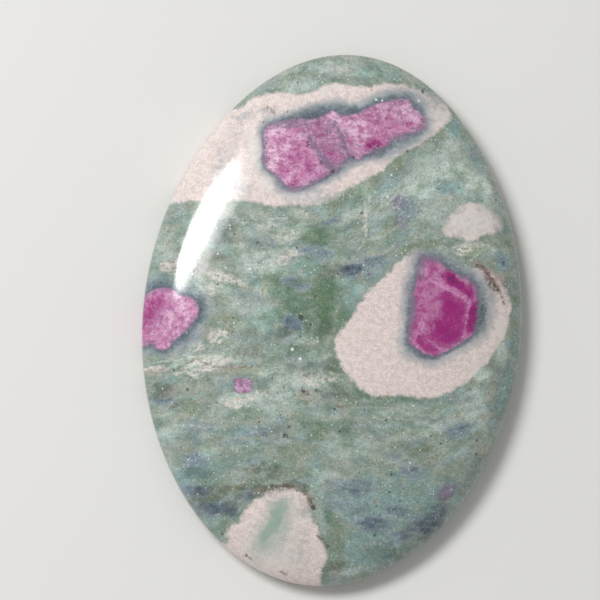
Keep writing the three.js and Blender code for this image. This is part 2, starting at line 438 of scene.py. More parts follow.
        (12.9, 13.5, 1.1, 0.9, 1.0, -44), (15.5, 0.5, 0.8, 1.1, 0.9), (-9.0, -6.0, 1.3, 0.5, 0.5),
        (-6.6, -5.6, 1.9, 0.5, 0.4), (13.7, -3.6, 1.1, 0.8, 0.8), (6.9, 19.6, 0.8, 1.3, 0.7, -14),
        (-9.5, 14.7, 0.6, 2.3, 0.9), (-8.2, 11.7, 1.1, 0.7, 0.7, -34), (11.8, 10.4, 2.6, 1.3, 0.9),
        (-4.8, -23.1, 3.4, 2.3, 0.45), (-5.0, 10.6, 2.4, 0.5, 0.5), (7.9, 20.0, 0.8, 0.9, 0.7, -24),
        (6.4, 16.6, 1.5, 0.4, 0.5, 46), (6.7, 14.4, 4.0, 1.7, 1.0, 21), (8.3, 11.4, 4.3, 2.8, 0.6),
        (9.2, 16.8, 1.2, 2.1, 0.8, -34), (11.6, 14.7, 1.0, 2.3, 0.9, -49), (13.1, 12.0, 0.8, 1.7, 0.9, -64),
        (13.4, 7.8, 1.2, 0.8, 0.7), (4.0, 12.1, 2.8, 0.9, 0.7, 28), (0.0, 9.5, 2.3, 0.6, 0.7, 31),
        (-2.3, -6.3, 3.8, 1.3, 1.0, 11), (-9.5, -4.3, 3.2, 1.3, 0.5, 14), (-9.6, -0.2, 2.4, 0.9, 0.45, 11),
        (-7.0, 0.1, 1.3, 0.7, 0.5), (-8.3, 4.1, 2.4, 1.2, 0.8, 11), (-4.7, -7.3, 1.5, 2.3, 0.7, 11),
        (-5.9, -9.1, 1.9, 0.8, 0.6), (15.6, -1.6, 0.8, 1.3, 0.9), (6.3, -8.3, 3.2, 0.9, 0.45),
        (13.3, -7.1, 2.1, 1.7, 0.8, 56), (11.5, -9.0, 3.0, 0.8, 0.7, 11), (0.0, -14.6, 1.5, 0.8, 0.7),
        (-17.3, 4.4, 1.3, 2.3, 0.4, 76), (1.4, -11.8, 3.2, 1.5, 0.5), (-14.5, -12.1, 0.9, 1.9, 0.7, 106),
        (4.0, -23.2, 1.9, 0.6, 0.8, 14), (-5.8, 21.2, 1.9, 0.8, 0.8, 21), (-2.9, 23.3, 2.4, 0.9, 0.6),
        (-5.8, 6.7, 1.7, 1.0, 0.6), (-8.3, -8.6, 3.0, 0.9, 0.8), (6.2, -11.9, 5.3, 1.5, 0.3, 14),
        (-12.2, -5.3, 3.2, 0.9, 0.6, 14), (11.1, 8.5, 1.3, 0.8, 0.6), (-8.3, 8.0, 3.2, 1.3, 0.3, 11),
        (14.5, 11.3, 0.8, 1.3, 0.5, 86), (-3.8, 21.0, 2.8, 0.6, 0.5, 14),
    ),
    "cream": patches(  # crumbs of feldspar in the mica
        (-2.2, 23.3, 1.9, 0.6, 0.3), (-12.5, 1.2, 1.4, 0.7, 0.5), (10.8, 7.6, 1.3, 0.6, 0.7, 21),
        (12.4, 8.3, 0.8, 0.4, 0.5, 16), (-10.3, 7.8, 0.9, 0.4, 0.3), (-7.7, 7.8, 1.3, 0.6, 0.35),
        (-11.2, 2.3, 1.9, 0.5, 1.0, -14), (-11.6, -3.0, 1.3, 0.7, 1.0, 18), (-11.7, -5.5, 2.3, 0.8, 1.0, 16),
        (-16.4, -6.4, 1.3, 0.4, 0.9), (-9.1, -8.9, 1.2, 0.5, 1.0, 11), (-5.4, 5.0, 1.9, 0.8, 0.6, 21),
        (-10.3, 0.2, 1.3, 0.6, 0.3, -14), (-16.0, 3.1, 1.4, 0.8, 0.8), (-1.8, -5.9, 2.8, 0.6, 0.6, 11),
        (-5.8, 6.8, 1.3, 0.8, 0.4), (1.3, 9.5, 0.2, 2.1, 0.6, 1), (14.6, 4.6, 0.8, 1.3, 0.6, -19),
        (-13.6, -6.7, 1.7, 0.4, 0.5, 11), (-7.4, -8.1, 1.5, 0.6, 0.5, 21), (-13.2, -4.3, 1.1, 0.6, 0.7, 16),
        (0.4, 15.9, 1.5, 0.3, 0.6, 26),
    ),
    "blue": patches(  # blades of kyanite
        (-8.4, -19.0, 1.1, 0.9, 0.8), (-7.2, -20.5, 0.7, 1.1, 0.7), (15.6, 4.1, 0.6, 1.1, 0.4, -9),
        (-3.9, 23.0, 1.7, 0.6, 0.2), (0.3, 4.4, 1.5, 0.8, 1.1, 11), (2.4, 5.5, 1.7, 0.8, 0.8, 21),
        (1.2, 3.9, 2.1, 0.4, 0.6, 16), (-12.1, -11.5, 1.9, 0.8, 0.45), (-6.4, -11.4, 2.6, 0.8, 0.45),
        (-8.3, -12.5, 1.9, 0.5, 0.5), (12.3, -9.2, 2.0, 0.8, 0.8, 24), (2.6, -15.6, 2.4, 1.0, 0.7),
        (4.2, -15.4, 0.8, 0.5, 0.5), (5.0, -18.8, 2.1, 0.9, 0.9, 1), (10.4, -18.2, 2.4, 1.2, 0.85, 18),
        (8.3, -19.5, 1.9, 0.9, 0.65, 16), (-10.1, -19.0, 1.8, 1.0, 0.8, 11),
        (-4.7, -1.0, 1.3, 0.8, 0.9, -14), (-4.7, 2.6, 1.9, 0.6, 0.7, -9), (-8.3, 6.1, 1.9, 0.6, 0.5),
        (-15.4, -9.2, 1.2, 0.5, 0.8), (16.4, -0.8, 0.5, 1.3, 0.5, 66), (8.0, -13.6, 0.8, 1.2, 0.8, 96),
        (7.0, -17.3, 1.3, 0.8, 0.75), (-3.1, 5.7, 1.6, 0.7, 0.7), (12.8, -14.6, 1.2, 0.8, 0.5, 26),
        (5.1, 10.5, 1.0, 1.9, 0.6), (-12.1, -14.6, 1.4, 1.0, 0.7), (-1.9, 8.6, 1.3, 0.4, 0.7, 21),
        (-11.6, -17.4, 1.3, 0.9, 0.8), (-9.1, -18.6, 1.4, 0.8, 0.75), (-7.1, -17.2, 1.1, 0.7, 0.6),
        (11.6, -16.9, 1.1, 0.8, 0.6, 16), (11.9, -18.6, 1.2, 0.8, 0.9, 16), (12.2, -6.3, 2.1, 0.8, 0.4, 11),
        (2.1, -17.3, 2.4, 0.9, 0.5), (11.6, 17.2, 0.8, 1.1, 0.4, -44), (15.3, 6.9, 0.7, 0.8, 0.7),
        (8.4, -22.1, 2.4, 0.8, 0.5, 21),
    ),
    "violet": patches(  # blurred little rubies under the surface
        (4.3, 11.1, 0.9, 1.1, 0.6), (4.8, 9.4, 0.9, 0.9, 0.45), (11.5, -17.0, 1.1, 1.1, 0.3),
        (-13.8, -3.4, 1.7, 1.1, 0.25), (11.6, -15.1, 1.2, 0.9, 0.9), (4.1, 11.3, 0.8, 1.1, 0.45),
        (4.6, 9.4, 0.8, 0.9, 0.4), (11.9, -15.2, 0.9, 0.8, 1.6),
    ),
    "green_heart": patches(  # mica that shows through the feldspar
        (-4.4, -19.7, 2.8, 1.0, 1.0, 71), (-4.3, -20.2, 3.6, 2.0, 0.6, 68), (-2.8, -21.8, 2.1, 1.9, 0.3, 56),
        (-2.0, -18.3, 0.8, 1.1, 0.25),
    ),
    "shade": patches(  # where the mica or a jacket is darker, and painted shade along the stone's left and lower edges
        (3.6, -17.6, 1.1, 0.8, 0.5), (7.4, -17.3, 1.1, 0.8, 0.5), (3.1, -15.7, 1.3, 0.8, 0.5),
        (-3.1, 13.1, 1.3, 0.6, 0.9, 26), (-13.0, -0.1, 0.5, 1.3, 0.8), (-14.0, -3.2, 0.9, 0.6, 0.35, -34),
        (-16.0, -4.9, 1.3, 0.4, 0.4), (-16.6, 1.4, 1.5, 0.5, 0.5), (-12.8, -0.9, 0.7, 1.9, 0.2),
        (-2.8, -16.2, 1.7, 0.7, 1.2), (15.0, 4.1, 0.8, 1.3, 1.0, -4), (-15.1, 3.0, 1.0, 0.7, 0.8),
        (-3.0, -16.3, 1.9, 0.8, 1.2), (-0.7, 4.3, 1.5, 0.8, 0.8), (-3.3, 15.5, 0.9, 1.3, 0.7),
        (-2.5, 15.2, 1.1, 1.5, 0.5), (0.8, 15.8, 0.8, 0.9, 0.6), (-15.4, 4.7, 0.9, 0.6, 0.8),
        (-16.7, 2.7, 0.7, 0.8, 0.6), (-3.4, -16.3, 1.9, 0.8, 1.1), (5.9, -19.1, 1.3, 0.8, 0.5),
        (11.4, -17.9, 1.3, 1.5, 0.7), (5.5, 1.4, 0.6, 1.7, 0.5), (-0.7, 4.1, 1.3, 0.8, 0.45),
        (5.3, 1.2, 0.7, 1.5, 0.5), (15.8, -3.5, 0.8, 0.8, 0.5), (-12.7, -12.7, 1.7, 1.1, 0.4),
        (-5.6, -11.2, 1.7, 0.7, 0.45), (-5.0, 18.8, 2.6, 0.8, 1.2, 18), (-1.4, 19.7, 1.3, 0.5, 0.7),
        (-0.3, 19.6, 0.8, 0.4, 0.9), (1.8, 15.4, 1.5, 0.5, 0.7, 26), (3.3, 21.2, 2.1, 0.5, 0.4, 16),
        (13.6, 1.6, 0.4, 2.1, 0.9, 1), (7.7, -2.9, 1.7, 0.6, 0.4), (-2.0, 12.8, 1.9, 0.6, 0.6, 34),
        (-10.4, -18.1, 2.1, 1.4, 0.9, 26), (10.8, -17.9, 2.1, 1.5, 0.6), (4.6, 14.2, 1.7, 0.7, 0.8, 36),
        (6.3, -21.2, 2.3, 1.0, 0.55, 11), (-9.2, -18.7, 1.7, 0.9, 1.2, 26), (-4.5, -16.6, 1.9, 0.6, 0.8),
        (-12.0, 6.8, 1.6, 1.3, 1.1), (-13.6, 4.0, 2.3, 1.2, 0.9), (-1.6, 3.9, 2.1, 0.8, 0.4),
        (-1.8, -1.4, 1.5, 0.9, 0.6), (-0.5, -7.0, 2.1, 0.8, 0.75), (7.5, -11.7, 2.6, 1.1, 0.5, 11),
        (-11.5, -15.6, 1.4, 0.8, 0.85), (-5.7, -14.9, 2.4, 0.8, 0.8, 11), (-10.1, -17.2, 2.1, 0.8, 1.5, 11),
        (-6.6, -16.8, 2.8, 0.8, 1.1, 11), (-7.8, -18.9, 1.5, 0.8, 0.6, 26), (-7.1, -20.4, 0.8, 1.3, 1.0),
        (11.4, -16.9, 1.5, 1.3, 0.7), (9.7, -19.0, 2.3, 1.1, 0.7), (8.1, -21.1, 1.7, 0.9, 0.45),
        (1.6, -23.3, 1.7, 0.8, 0.8), (2.3, -21.0, 0.9, 1.9, 0.35), (-8.3, -4.0, 2.1, 0.7, 0.8, 11),
        (-5.6, -1.9, 1.4, 0.8, 0.8), (-2.2, -5.1, 2.4, 0.8, 0.6), (1.0, -10.4, 1.1, 0.8, 0.35),
        (-4.3, -11.9, 1.5, 1.1, 0.35), (-15.9, -8.5, 0.8, 1.4, 1.1, 96), (-7.2, -9.2, 1.3, 0.6, 0.25),
        (-14.0, -9.6, 1.3, 0.6, 0.3), (-2.1, 10.1, 1.9, 0.4, 0.3, 26), (-0.8, 11.0, 1.5, 0.4, 0.4, 36),
        (-2.2, -16.7, 1.5, 0.7, 0.5), (15.1, 4.2, 0.8, 1.4, 0.7, -4), (1.6, 13.7, 2.3, 0.4, 0.4, 36),
    ),
    "lift": patches(  # where the mica is lighter
        (-4.4, 4.1, 1.3, 0.8, 0.8), (10.6, -11.3, 1.1, 0.8, 0.8), (-7.2, -5.8, 1.9, 0.6, 0.5),
        (-2.0, -1.5, 0.8, 0.8, 0.4), (8.1, 20.4, 1.1, 1.3, 0.9, -24), (15.4, 0.3, 0.9, 1.3, 1.6),
        (-13.3, 1.3, 1.3, 0.8, 0.5), (12.9, 13.7, 1.1, 0.9, 1.8, -34), (12.7, 9.8, 1.3, 0.8, 0.7, -4),
        (-10.0, 5.2, 1.1, 0.8, 0.8), (-11.3, -13.5, 1.1, 0.8, 0.6), (-11.2, -13.5, 1.1, 0.8, 0.8),
        (15.4, 0.0, 0.8, 1.1, 1.8), (-9.4, -2.2, 1.9, 0.9, 0.6), (6.1, -6.2, 1.3, 0.6, 0.5),
        (-4.7, 7.6, 1.5, 0.8, 0.6), (-3.9, 9.4, 3.4, 0.8, 0.6, 11), (2.8, 7.8, 1.3, 1.5, 0.6),
        (1.6, 2.6, 1.1, 0.8, 0.6), (-8.6, -9.5, 1.3, 0.7, 0.6), (10.5, 13.4, 1.3, 0.9, 1.0),
        (-12.0, 1.1, 1.3, 0.8, 0.5), (8.3, 18.5, 1.1, 0.8, 1.0, -39), (8.0, 18.5, 1.0, 0.7, 1.2, -39),
        (9.3, 14.9, 2.4, 1.2, 0.7, 16), (6.5, 12.6, 1.4, 0.8, 1.2), (12.2, 13.5, 1.5, 0.9, 1.9, -24),
        (0.7, 11.9, 1.7, 0.8, 1.2, 16), (3.1, 10.2, 1.9, 0.8, 0.9, 16), (11.5, 9.3, 1.3, 0.7, 0.5),
        (11.6, 7.6, 1.9, 0.7, 0.8), (-6.2, 3.6, 1.3, 0.7, 0.7), (-12.8, 1.2, 1.6, 0.8, 1.1),
        (-7.7, 1.6, 1.2, 0.8, 1.1), (-7.5, -0.9, 1.3, 1.7, 0.6), (15.4, 0.0, 0.8, 1.7, 1.3),
        (13.7, -3.6, 1.3, 0.9, 1.8), (12.4, -5.5, 1.6, 0.8, 0.7), (10.2, -7.8, 1.9, 0.8, 0.6),
        (8.6, -9.6, 1.6, 0.8, 1.1), (14.2, -7.4, 0.8, 1.7, 0.5, 36), (14.3, -9.0, 1.0, 0.8, 0.9),
        (12.6, -11.1, 1.1, 0.7, 0.9), (-0.4, -16.0, 0.9, 0.8, 1.1), (-5.5, -3.7, 1.1, 0.6, 0.4),
        (-14.0, -5.4, 2.1, 0.9, 0.4), (-4.6, 5.7, 1.1, 0.6, 0.45), (-9.2, -7.9, 1.3, 0.6, 0.25),
        (-0.6, 23.4, 2.3, 0.8, 0.6, 1),
    ),
    "rust": patches(  # faint rust
        (-1.5, 23.3, 1.7, 0.7, 0.4), (-9.7, -6.0, 2.3, 0.6, 0.4, 11), (-15.1, 3.0, 1.1, 0.6, 0.3),
        (-11.8, -8.9, 2.1, 1.1, 0.35), (-16.0, -7.3, 0.9, 1.1, 0.4), (-9.7, -5.9, 1.9, 0.6, 0.5),
        (-12.2, 0.9, 1.1, 0.5, 0.35), (-13.5, 3.2, 1.7, 0.8, 0.55), (-16.1, -6.7, 1.3, 0.9, 0.5),
        (-12.8, -2.7, 1.5, 0.8, 0.5), (-9.3, -2.4, 1.3, 0.8, 0.3), (-14.7, -4.6, 1.3, 0.9, 0.4),
        (-13.2, -13.7, 1.3, 0.9, 0.4), (-9.5, 1.5, 1.1, 0.7, 0.4), (-13.8, -8.4, 1.7, 0.9, 0.4),
        (14.3, 5.2, 1.5, 0.9, 1.2, -39), (-5.2, -16.5, 2.1, 0.5, 0.5, 11), (12.6, 6.2, 0.9, 0.5, 0.7, -14),
        (15.7, 3.8, 0.5, 0.9, 0.5), (-2.6, -7.3, 0.8, 0.5, 0.5), (-3.4, -16.1, 1.6, 0.5, 0.45),
        (-1.0, -17.1, 0.8, 0.9, 0.6, -34), (-8.2, 18.6, 0.7, 0.8, 0.35), (-15.2, 3.4, 1.1, 0.5, 0.5, -9),
    ),
}
THREADS: dict[str, Threads] = {
    "seam": threads(  # brown seams in the mica
        (0.07, (-16.3, 3.6), (-15.5, 3.4), (-14.6, 3.2), (-13.4, 2.9)), (0.05, (-18.2, -6.5), (-17.0, -6.3)),
        (0.05, (-15.2, -6.8), (-14.5, -6.3), (-13.9, -5.8), (-13.0, -5.2)),
        (0.05, (-13.0, -5.2), (-11.7, -5.8), (-9.0, -5.7), (-7.0, -5.3)),
        (0.06, (-15.4, -8.0), (-15.1, -7.6), (-14.6, -7.7)),
        (0.05, (-3.2, -5.9), (-2.3, -5.5), (-1.2, -4.9)),
        (0.05, (-14.7, 15.9), (-13.9, 15.9), (-13.4, 15.7)), (0.05, (-0.3, -8.5), (1.7, -8.0), (3.6, -7.8)),
        (0.05, (-9.3, -14.8), (-8.0, -15.0), (-6.0, -14.8)),
    ),
    "stain": threads(  # dark crumbs along the edges of the feldspar
        (0.09, (-5.7, -16.7), (-4.8, -16.5), (-4.1, -16.1)), (0.14, (-3.9, -16.1), (-3.0, -16.1)),
        (0.1, (-2.6, -16.4), (-1.8, -16.6), (-1.3, -17.2), (-0.8, -17.8)),
        (0.1, (0.0, -20.3), (0.6, -20.8), (1.1, -21.3)), (0.12, (-3.1, -7.1), (-2.5, -7.5)),
        (0.1, (-1.8, -7.0), (-1.6, -7.1)), (0.18, (12.5, 6.2), (13.1, 6.1), (13.6, 5.6), (14.0, 5.1)),
        (0.2, (13.5, 5.1), (14.2, 5.0), (14.6, 4.5), (15.0, 4.1)),
        (0.12, (13.7, 4.6), (14.2, 4.3), (14.7, 4.0)), (0.08, (15.1, 3.7), (15.6, 3.0)),
        (0.12, (-8.5, 18.8), (-7.9, 18.4)), (0.1, (-15.1, 3.4), (-14.4, 3.3)),
        (0.1, (-10.4, -2.3), (-10.0, -2.6)), (0.09, (-4.3, -11.3), (-3.9, -11.6)),
        (0.08, (-14.8, -10.0), (-14.4, -9.6)), (0.1, (-6.3, -22.8), (-5.8, -23.1)),
        (0.1, (-2.9, -24.0), (-2.3, -24.2)), (0.06, (0.6, 11.4), (0.8, 10.7)),
    ),
    "hair": threads(  # pale hairs on the mica
        (0.04, (1.0, 11.1), (1.3, 9.9), (1.5, 7.9), (1.2, 6.8), (0.7, 6.2)),
        (0.03, (2.5, 2.2), (1.9, 3.3), (1.3, 3.6)), (0.04, (-7.7, 8.3), (-6.8, 8.5), (-5.9, 8.5)),
        (0.03, (-9.2, 3.8), (-8.7, 4.0), (-7.9, 4.0)), (0.04, (12.7, 7.5), (12.1, 7.0), (11.7, 6.5)),
        (0.03, (8.8, 7.6), (9.2, 8.6), (8.9, 8.9)), (0.03, (-17.0, -6.0), (-15.3, -5.6), (-13.1, -5.1)),
        (0.04, (-14.7, -4.8), (-13.4, -5.1), (-12.0, -5.0), (-10.7, -4.8)),
        (0.03, (-12.0, -6.2), (-10.6, -6.2), (-9.3, -6.2)), (0.03, (-5.4, -8.5), (-6.2, -8.0), (-7.1, -8.1)),
        (0.03, (-5.0, -11.8), (-6.0, -11.2), (-7.5, -11.5)),
        (0.03, (-12.9, -11.3), (-12.0, -11.5), (-11.1, -11.4)),
    ),
    "vein": threads(  # healed cracks in the rubies
        (0.04, (-8.5, 13.2), (-6.6, 13.2), (-4.9, 13.7)), (0.04, (-7.3, 12.2), (-6.1, 12.8), (-4.5, 13.1)),
        (0.05, (-6.7, 12.0), (-5.1, 12.6), (-3.4, 13.2)), (0.04, (-4.8, 12.1), (-4.1, 13.1)),
        (0.04, (-5.0, 18.5), (-4.6, 17.2), (-4.1, 16.1)), (0.04, (-5.4, 18.3), (-5.1, 17.3), (-4.7, 16.7)),
        (0.09, (8.0, 4.3), (9.0, 3.9), (10.2, 3.5), (11.2, 3.1), (12.0, 2.5)),
        (0.04, (8.5, 4.6), (9.7, 3.9), (11.0, 3.5), (12.1, 2.9)),
        (0.04, (12.0, 2.4), (11.9, 1.2), (11.8, 0.0), (11.5, -1.0)),
        (0.05, (-1.7, 17.6), (-1.2, 16.7), (-0.8, 15.8), (-0.5, 15.1)),
        (0.05, (7.4, 0.7), (7.3, -0.5), (7.0, -1.5)), (0.04, (7.9, 1.4), (7.7, 0.3), (7.6, -0.8)),
        (0.04, (7.9, -1.1), (8.7, -1.5), (9.6, -2.0)), (0.05, (9.6, -2.4), (10.7, -1.7), (11.8, -0.9)),
        (0.05, (6.9, -1.6), (7.6, -2.2), (8.6, -2.7)), (0.04, (-13.7, 1.5), (-14.0, -0.1), (-14.2, -1.6)),
        (0.05, (-16.1, -0.6), (-16.2, -1.9), (-16.4, -3.1)),
    ),
    "cross_vein": threads(  # grey bands across the rubies
        (0.28, (-4.5, 16.4), (-4.0, 15.5), (-3.3, 14.8), (-2.8, 14.1)), (0.28, (-2.8, 14.1), (-2.1, 13.4)),
        (0.1, (-5.0, 18.1), (-4.6, 17.1), (-4.2, 16.1)),
        (0.24, (-2.2, 17.9), (-1.8, 17.1), (-1.3, 16.2), (-0.8, 15.4)), (0.2, (-0.8, 15.4), (-0.6, 14.6)),
        (0.1, (-3.9, 18.3), (-3.5, 18.0)), (0.12, (6.4, 4.5), (6.3, 3.0), (6.3, 1.5), (6.2, 0.0)),
    ),
}
DOTS: dict[str, tuple[Size, ...]] = {  # rows of x, y and radius
    "speck": (
        (-3.9, -0.5, 0.26), (-10.1, -1.2, 0.13), (-2.6, 8.5, 0.12), (-8.5, 6.0, 0.13), (-3.0, -7.3, 0.17),
        (-1.8, -7.0, 0.13), (-4.3, -11.5, 0.18), (-3.9, -10.6, 0.14), (0.1, -8.6, 0.15), (2.9, -8.4, 0.13),
        (0.8, -10.6, 0.15), (9.5, -10.1, 0.15), (10.6, -10.7, 0.14), (14.3, -11.3, 0.15), (8.1, -13.5, 0.13),
        (6.2, -15.7, 0.15), (5.3, -19.8, 0.15), (-0.8, -17.8, 0.22), (0.9, 9.8, 0.16), (6.1, 22.1, 0.19),
        (4.8, 16.1, 0.15), (-4.6, 15.6, 0.13), (3.0, 18.1, 0.11), (-3.3, 14.1, 0.18), (-2.1, 13.4, 0.18),
        (-0.3, 14.9, 0.15), (-13.5, -8.1, 0.17), (13.9, 4.7, 0.15), (14.4, 4.6, 0.15), (14.8, 4.2, 0.14),
        (-6.7, 18.6, 0.1), (-8.8, 17.4, 0.12), (14.1, 5.2, 0.12), (13.5, 5.6, 0.1), (1.2, 4.6, 0.13),
    ),
    # painted glints: bright dots standing in for light caught by the mica
    "painted_glint": (
        (-12.0, 4.6, 0.11), (-11.2, 3.4, 0.1), (-9.0, 3.5, 0.13), (-8.5, 3.6, 0.09), (-7.9, 3.8, 0.1),
        (-4.4, -3.5, 0.16), (-3.6, -4.3, 0.16), (-2.2, -2.2, 0.1), (7.8, -12.8, 0.14), (7.5, -7.5, 0.12),
        (1.5, 20.7, 0.13), (2.1, 20.7, 0.13), (3.4, 13.7, 0.11), (3.2, 11.6, 0.12), (-7.2, 18.5, 0.11),
        (5.7, 21.2, 0.12),
    ),
}


@dataclass
class MineralMap:
    """Where each mineral lies in the stone, in millimetres.

    Attributes:
        rubies: the crystals. The last two show on the back only.
        jackets: the kyanite round each ruby.
        halos: the feldspar round the rubies, and on its own.
        windows: the clear parts of the rubies.
        drift: moves every edge a little.
        wide_reach: the lattice step of the slow drift.
        fine_reach: the lattice step of the quick drift.
        wide_drift: how far the slow drift moves patches along x and y.
        fine_drift: how far the quick drift moves them.
        edge_drift: how far the quick drift moves the edges of bodies and threads.
        wide_shifts: where along x the slow drift is read for its moves along x and y.
        fine_shifts: the same for the quick drift.
        patch_depth: the depths at which patches begin and end their fade.
        thread_taper: how much a thread draws in for each millimetre down.
        dot_taper: how much a dot draws in for each millimetre down.
        slope: rise of the rock's layers for each millimetre along x.
        dip: their rise for each millimetre down.
        bend: how far they part round a hard body, as a share of its reach.
        wraps: the hard bodies, as rows of x, y and reach.
        split: places that part the large crystals: the square one's x and y, and the edge one's x.
        fibre_turns: turn of the fibres in the long, the square and the edge crystal, in degrees.
    """

    rubies: tuple[Deposit, ...] = (
        Deposit(LONG_RUBY, taper=0.4, grade=0.42),
        Deposit(SQUARE_RUBY, Edge.STRAIGHT, lean=(-0.3, 0.1), taper=0.45, grade=0.68),
        Deposit(EDGE_RUBY, lean=(0.1, -0.2), taper=0.3, grade=0.42),
        Deposit(LITTLE_RUBY, taper=0.4, grade=0.3),
        Deposit(SQUARE_RUBY, Edge.STRAIGHT, top=3.2, moved=(-14.0, -14.5), scale=0.8, taper=-0.05, grade=0.4),
        Deposit(LONG_RUBY, top=3.6, moved=(5.6, -27.5), scale=0.55, taper=-0.05, grade=0.4),
    )
    jackets: tuple[Deposit, ...] = (
        Deposit(LONG_JACKET, taper=0.35, grade=0.25),
        Deposit(SQUARE_JACKET, lean=(-0.3, 0.1), taper=0.4, grade=0.65),
        Deposit(EDGE_JACKET, lean=(0.1, -0.2), taper=0.25, grade=0.4),
        Deposit(LITTLE_RUBY, moved=(2.1, 1.8), scale=1.25, grade=0.6),
        Deposit(SQUARE_JACKET, top=3.0, moved=(-14.0, -14.5), scale=0.82, taper=-0.08, grade=0.8),
        Deposit(LONG_JACKET, top=3.4, moved=(5.6, -27.5), scale=0.57, taper=-0.08, grade=0.4),
    )
    halos: tuple[Deposit, ...] = (
        Deposit(LONG_HALO, taper=0.5),
        Deposit(SQUARE_HALO, lean=(-0.3, 0.1), taper=0.5),
        Deposit(SMALL_HALO, taper=0.3),
        Deposit(FOOT_HALO, lean=(0.3, 0.1), taper=0.0),
        Deposit(SQUARE_HALO, top=2.6, moved=(-12.0, -14.5), scale=0.85, taper=-0.12),
    )
    windows: tuple[Deposit, ...] = (
        Deposit(SQUARE_WINDOW, taper=0.5, grade=0.98),
        Deposit(TOP_WINDOW, taper=0.5, grade=1.12),
        Deposit(RIGHT_WINDOW, taper=0.5, grade=1.25),
        Deposit(LOW_WINDOW, taper=0.5, grade=0.98),
        Deposit(ROUND_WINDOW, taper=0.5, grade=0.95),
        Deposit(EDGE_WINDOW, Edge.STRAIGHT, taper=0.5, grade=0.8),
    )
    drift: Wander = field(default_factory=lambda: Wander(SEED))
    wide_reach: float = 1.5
    fine_reach: float = 0.55
    wide_drift: Pair = (0.35, 0.22)
    fine_drift: Pair = (0.12, 0.10)
    edge_drift: float = 0.07
    wide_shifts: Pair = (0.0, 40.0)
    fine_shifts: Pair = (10.0, 55.0)
    patch_depth: Pair = (2.0, 5.5)
    thread_taper: float = 0.15
    dot_taper: float = 0.3
    slope: float = 0.12
    dip: float = 0.25
    bend: float = 0.6
    wraps: tuple[Size, ...] = ((-2.0, 15.8, 6.5), (8.0, 0.0, 7.0), (-15.5, -1.8, 3.2), (-3.5, -21.0, 4.5))
    split: Size = (5.0, 10.0, -12.0)
    fibre_turns: Size = (15.0, 80.0, 78.0)

    def foliation(self, x: Array, y: Array, depth: Array) -> Array:
        """The rock's layering: distance along it, across it and down it.

        Across is y less a gentle slope, bent round each hard body as a stream bends round a post:
        y - bend * rise * reach^2 / max(distance^2, reach^2), where rise is y from the body's centre.

        Returns:
            One row of three for each place.
        """
        across = y - self.slope * x - self.dip * depth
        for centre_x, centre_y, reach in self.wraps:
            away = np.maximum((x - centre_x) ** 2 + (y - centre_y) ** 2, reach**2)
            across -= self.bend * (y - centre_y) * reach**2 / away
        return np.stack([x, across, depth], axis=-1)

    def lattice(self, x: Array, y: Array, depth: Array) -> Array:
        """The crystals' own grain: distance along and across the fibres of the nearest large crystal."""
        long_turn, square_turn, edge_turn = self.fibre_turns
        square_x, square_y, edge_x = self.split
        right = np.where(y > square_y, long_turn, square_turn)
        turns = np.where(x > square_x, right, np.where(x < edge_x, edge_turn, long_turn))
        cos, sin = np.cos(np.radians(turns)), np.sin(np.radians(turns))
        return np.stack([x * cos + y * sin, y * cos - x * sin, depth], axis=-1)

    @staticmethod
    def nearest(
        deposits: tuple[Deposit, ...], x: Array, y: Array, depth: Array
    ) -> tuple[Array, Array]:
        """Distance to the nearest deposit at each place, and that deposit's grade."""
        distances = np.array([deposit.distance(x, y, depth) for deposit in deposits])
        grades = np.array([deposit.grade for deposit in deposits])
        return distances.min(axis=0), grades[distances.argmin(axis=0)]

    def fields(self, x: Array, y: Array, depth: Array) -> dict[str, Array]:
        """Every attribute that the rock's material reads.

        Args:
            x: places along the stone's width.
            y: places along its length.
            depth: how far each place lies under the dome.

        Returns:
            The values by attribute name: distances in millimetres, or strengths from 0 to 1.
        """
        wide = [self.drift.at(x + shift, y, depth, self.wide_reach) for shift in self.wide_shifts]
        fine = [self.drift.at(x + shift, y, depth, self.fine_reach) for shift in self.fine_shifts]
        loose_x = x + self.wide_drift[0] * wide[0] + self.fine_drift[0] * fine[0]
        loose_y = y + self.wide_drift[1] * wide[1] + self.fine_drift[1] * fine[1]
        edge_x, edge_y = x + self.edge_drift * fine[0], y + self.edge_drift * fine[1]
        starts, ends = self.patch_depth
        fade = smooth_step(ends, starts, depth)

        values = {"halo": self.nearest(self.halos, edge_x, edge_y, depth)[0]}
        for name, deposits in (("ruby", self.rubies), ("jacket", self.jackets), ("window", self.windows)):
            values[name], values[name + "_grade"] = self.nearest(deposits, edge_x, edge_y, depth)
        for name, group in PATCHES.items():
            values[name] = fade * np.max([patch.amount(loose_x, loose_y) for patch in group], axis=0)
        for name, lines in THREADS.items():
            nearest = np.min([line.distance(edge_x, edge_y) for line in lines], axis=0)
            values[name] = nearest + self.thread_taper * depth
        for name, dots in DOTS.items():
            nearest = np.min([np.hypot(x - a, y - b) - radius for a, b, radius in dots], axis=0)
            values[name] = nearest + self.dot_taper * depth
        values["foliation"] = self.foliation(x, y, depth)
        values["lattice"] = self.lattice(x, y, depth)
        return values



# ---------------------------------------------------------------------------------------------
# Shader sheets and the effects that are placed again and again
# ---------------------------------------------------------------------------------------------


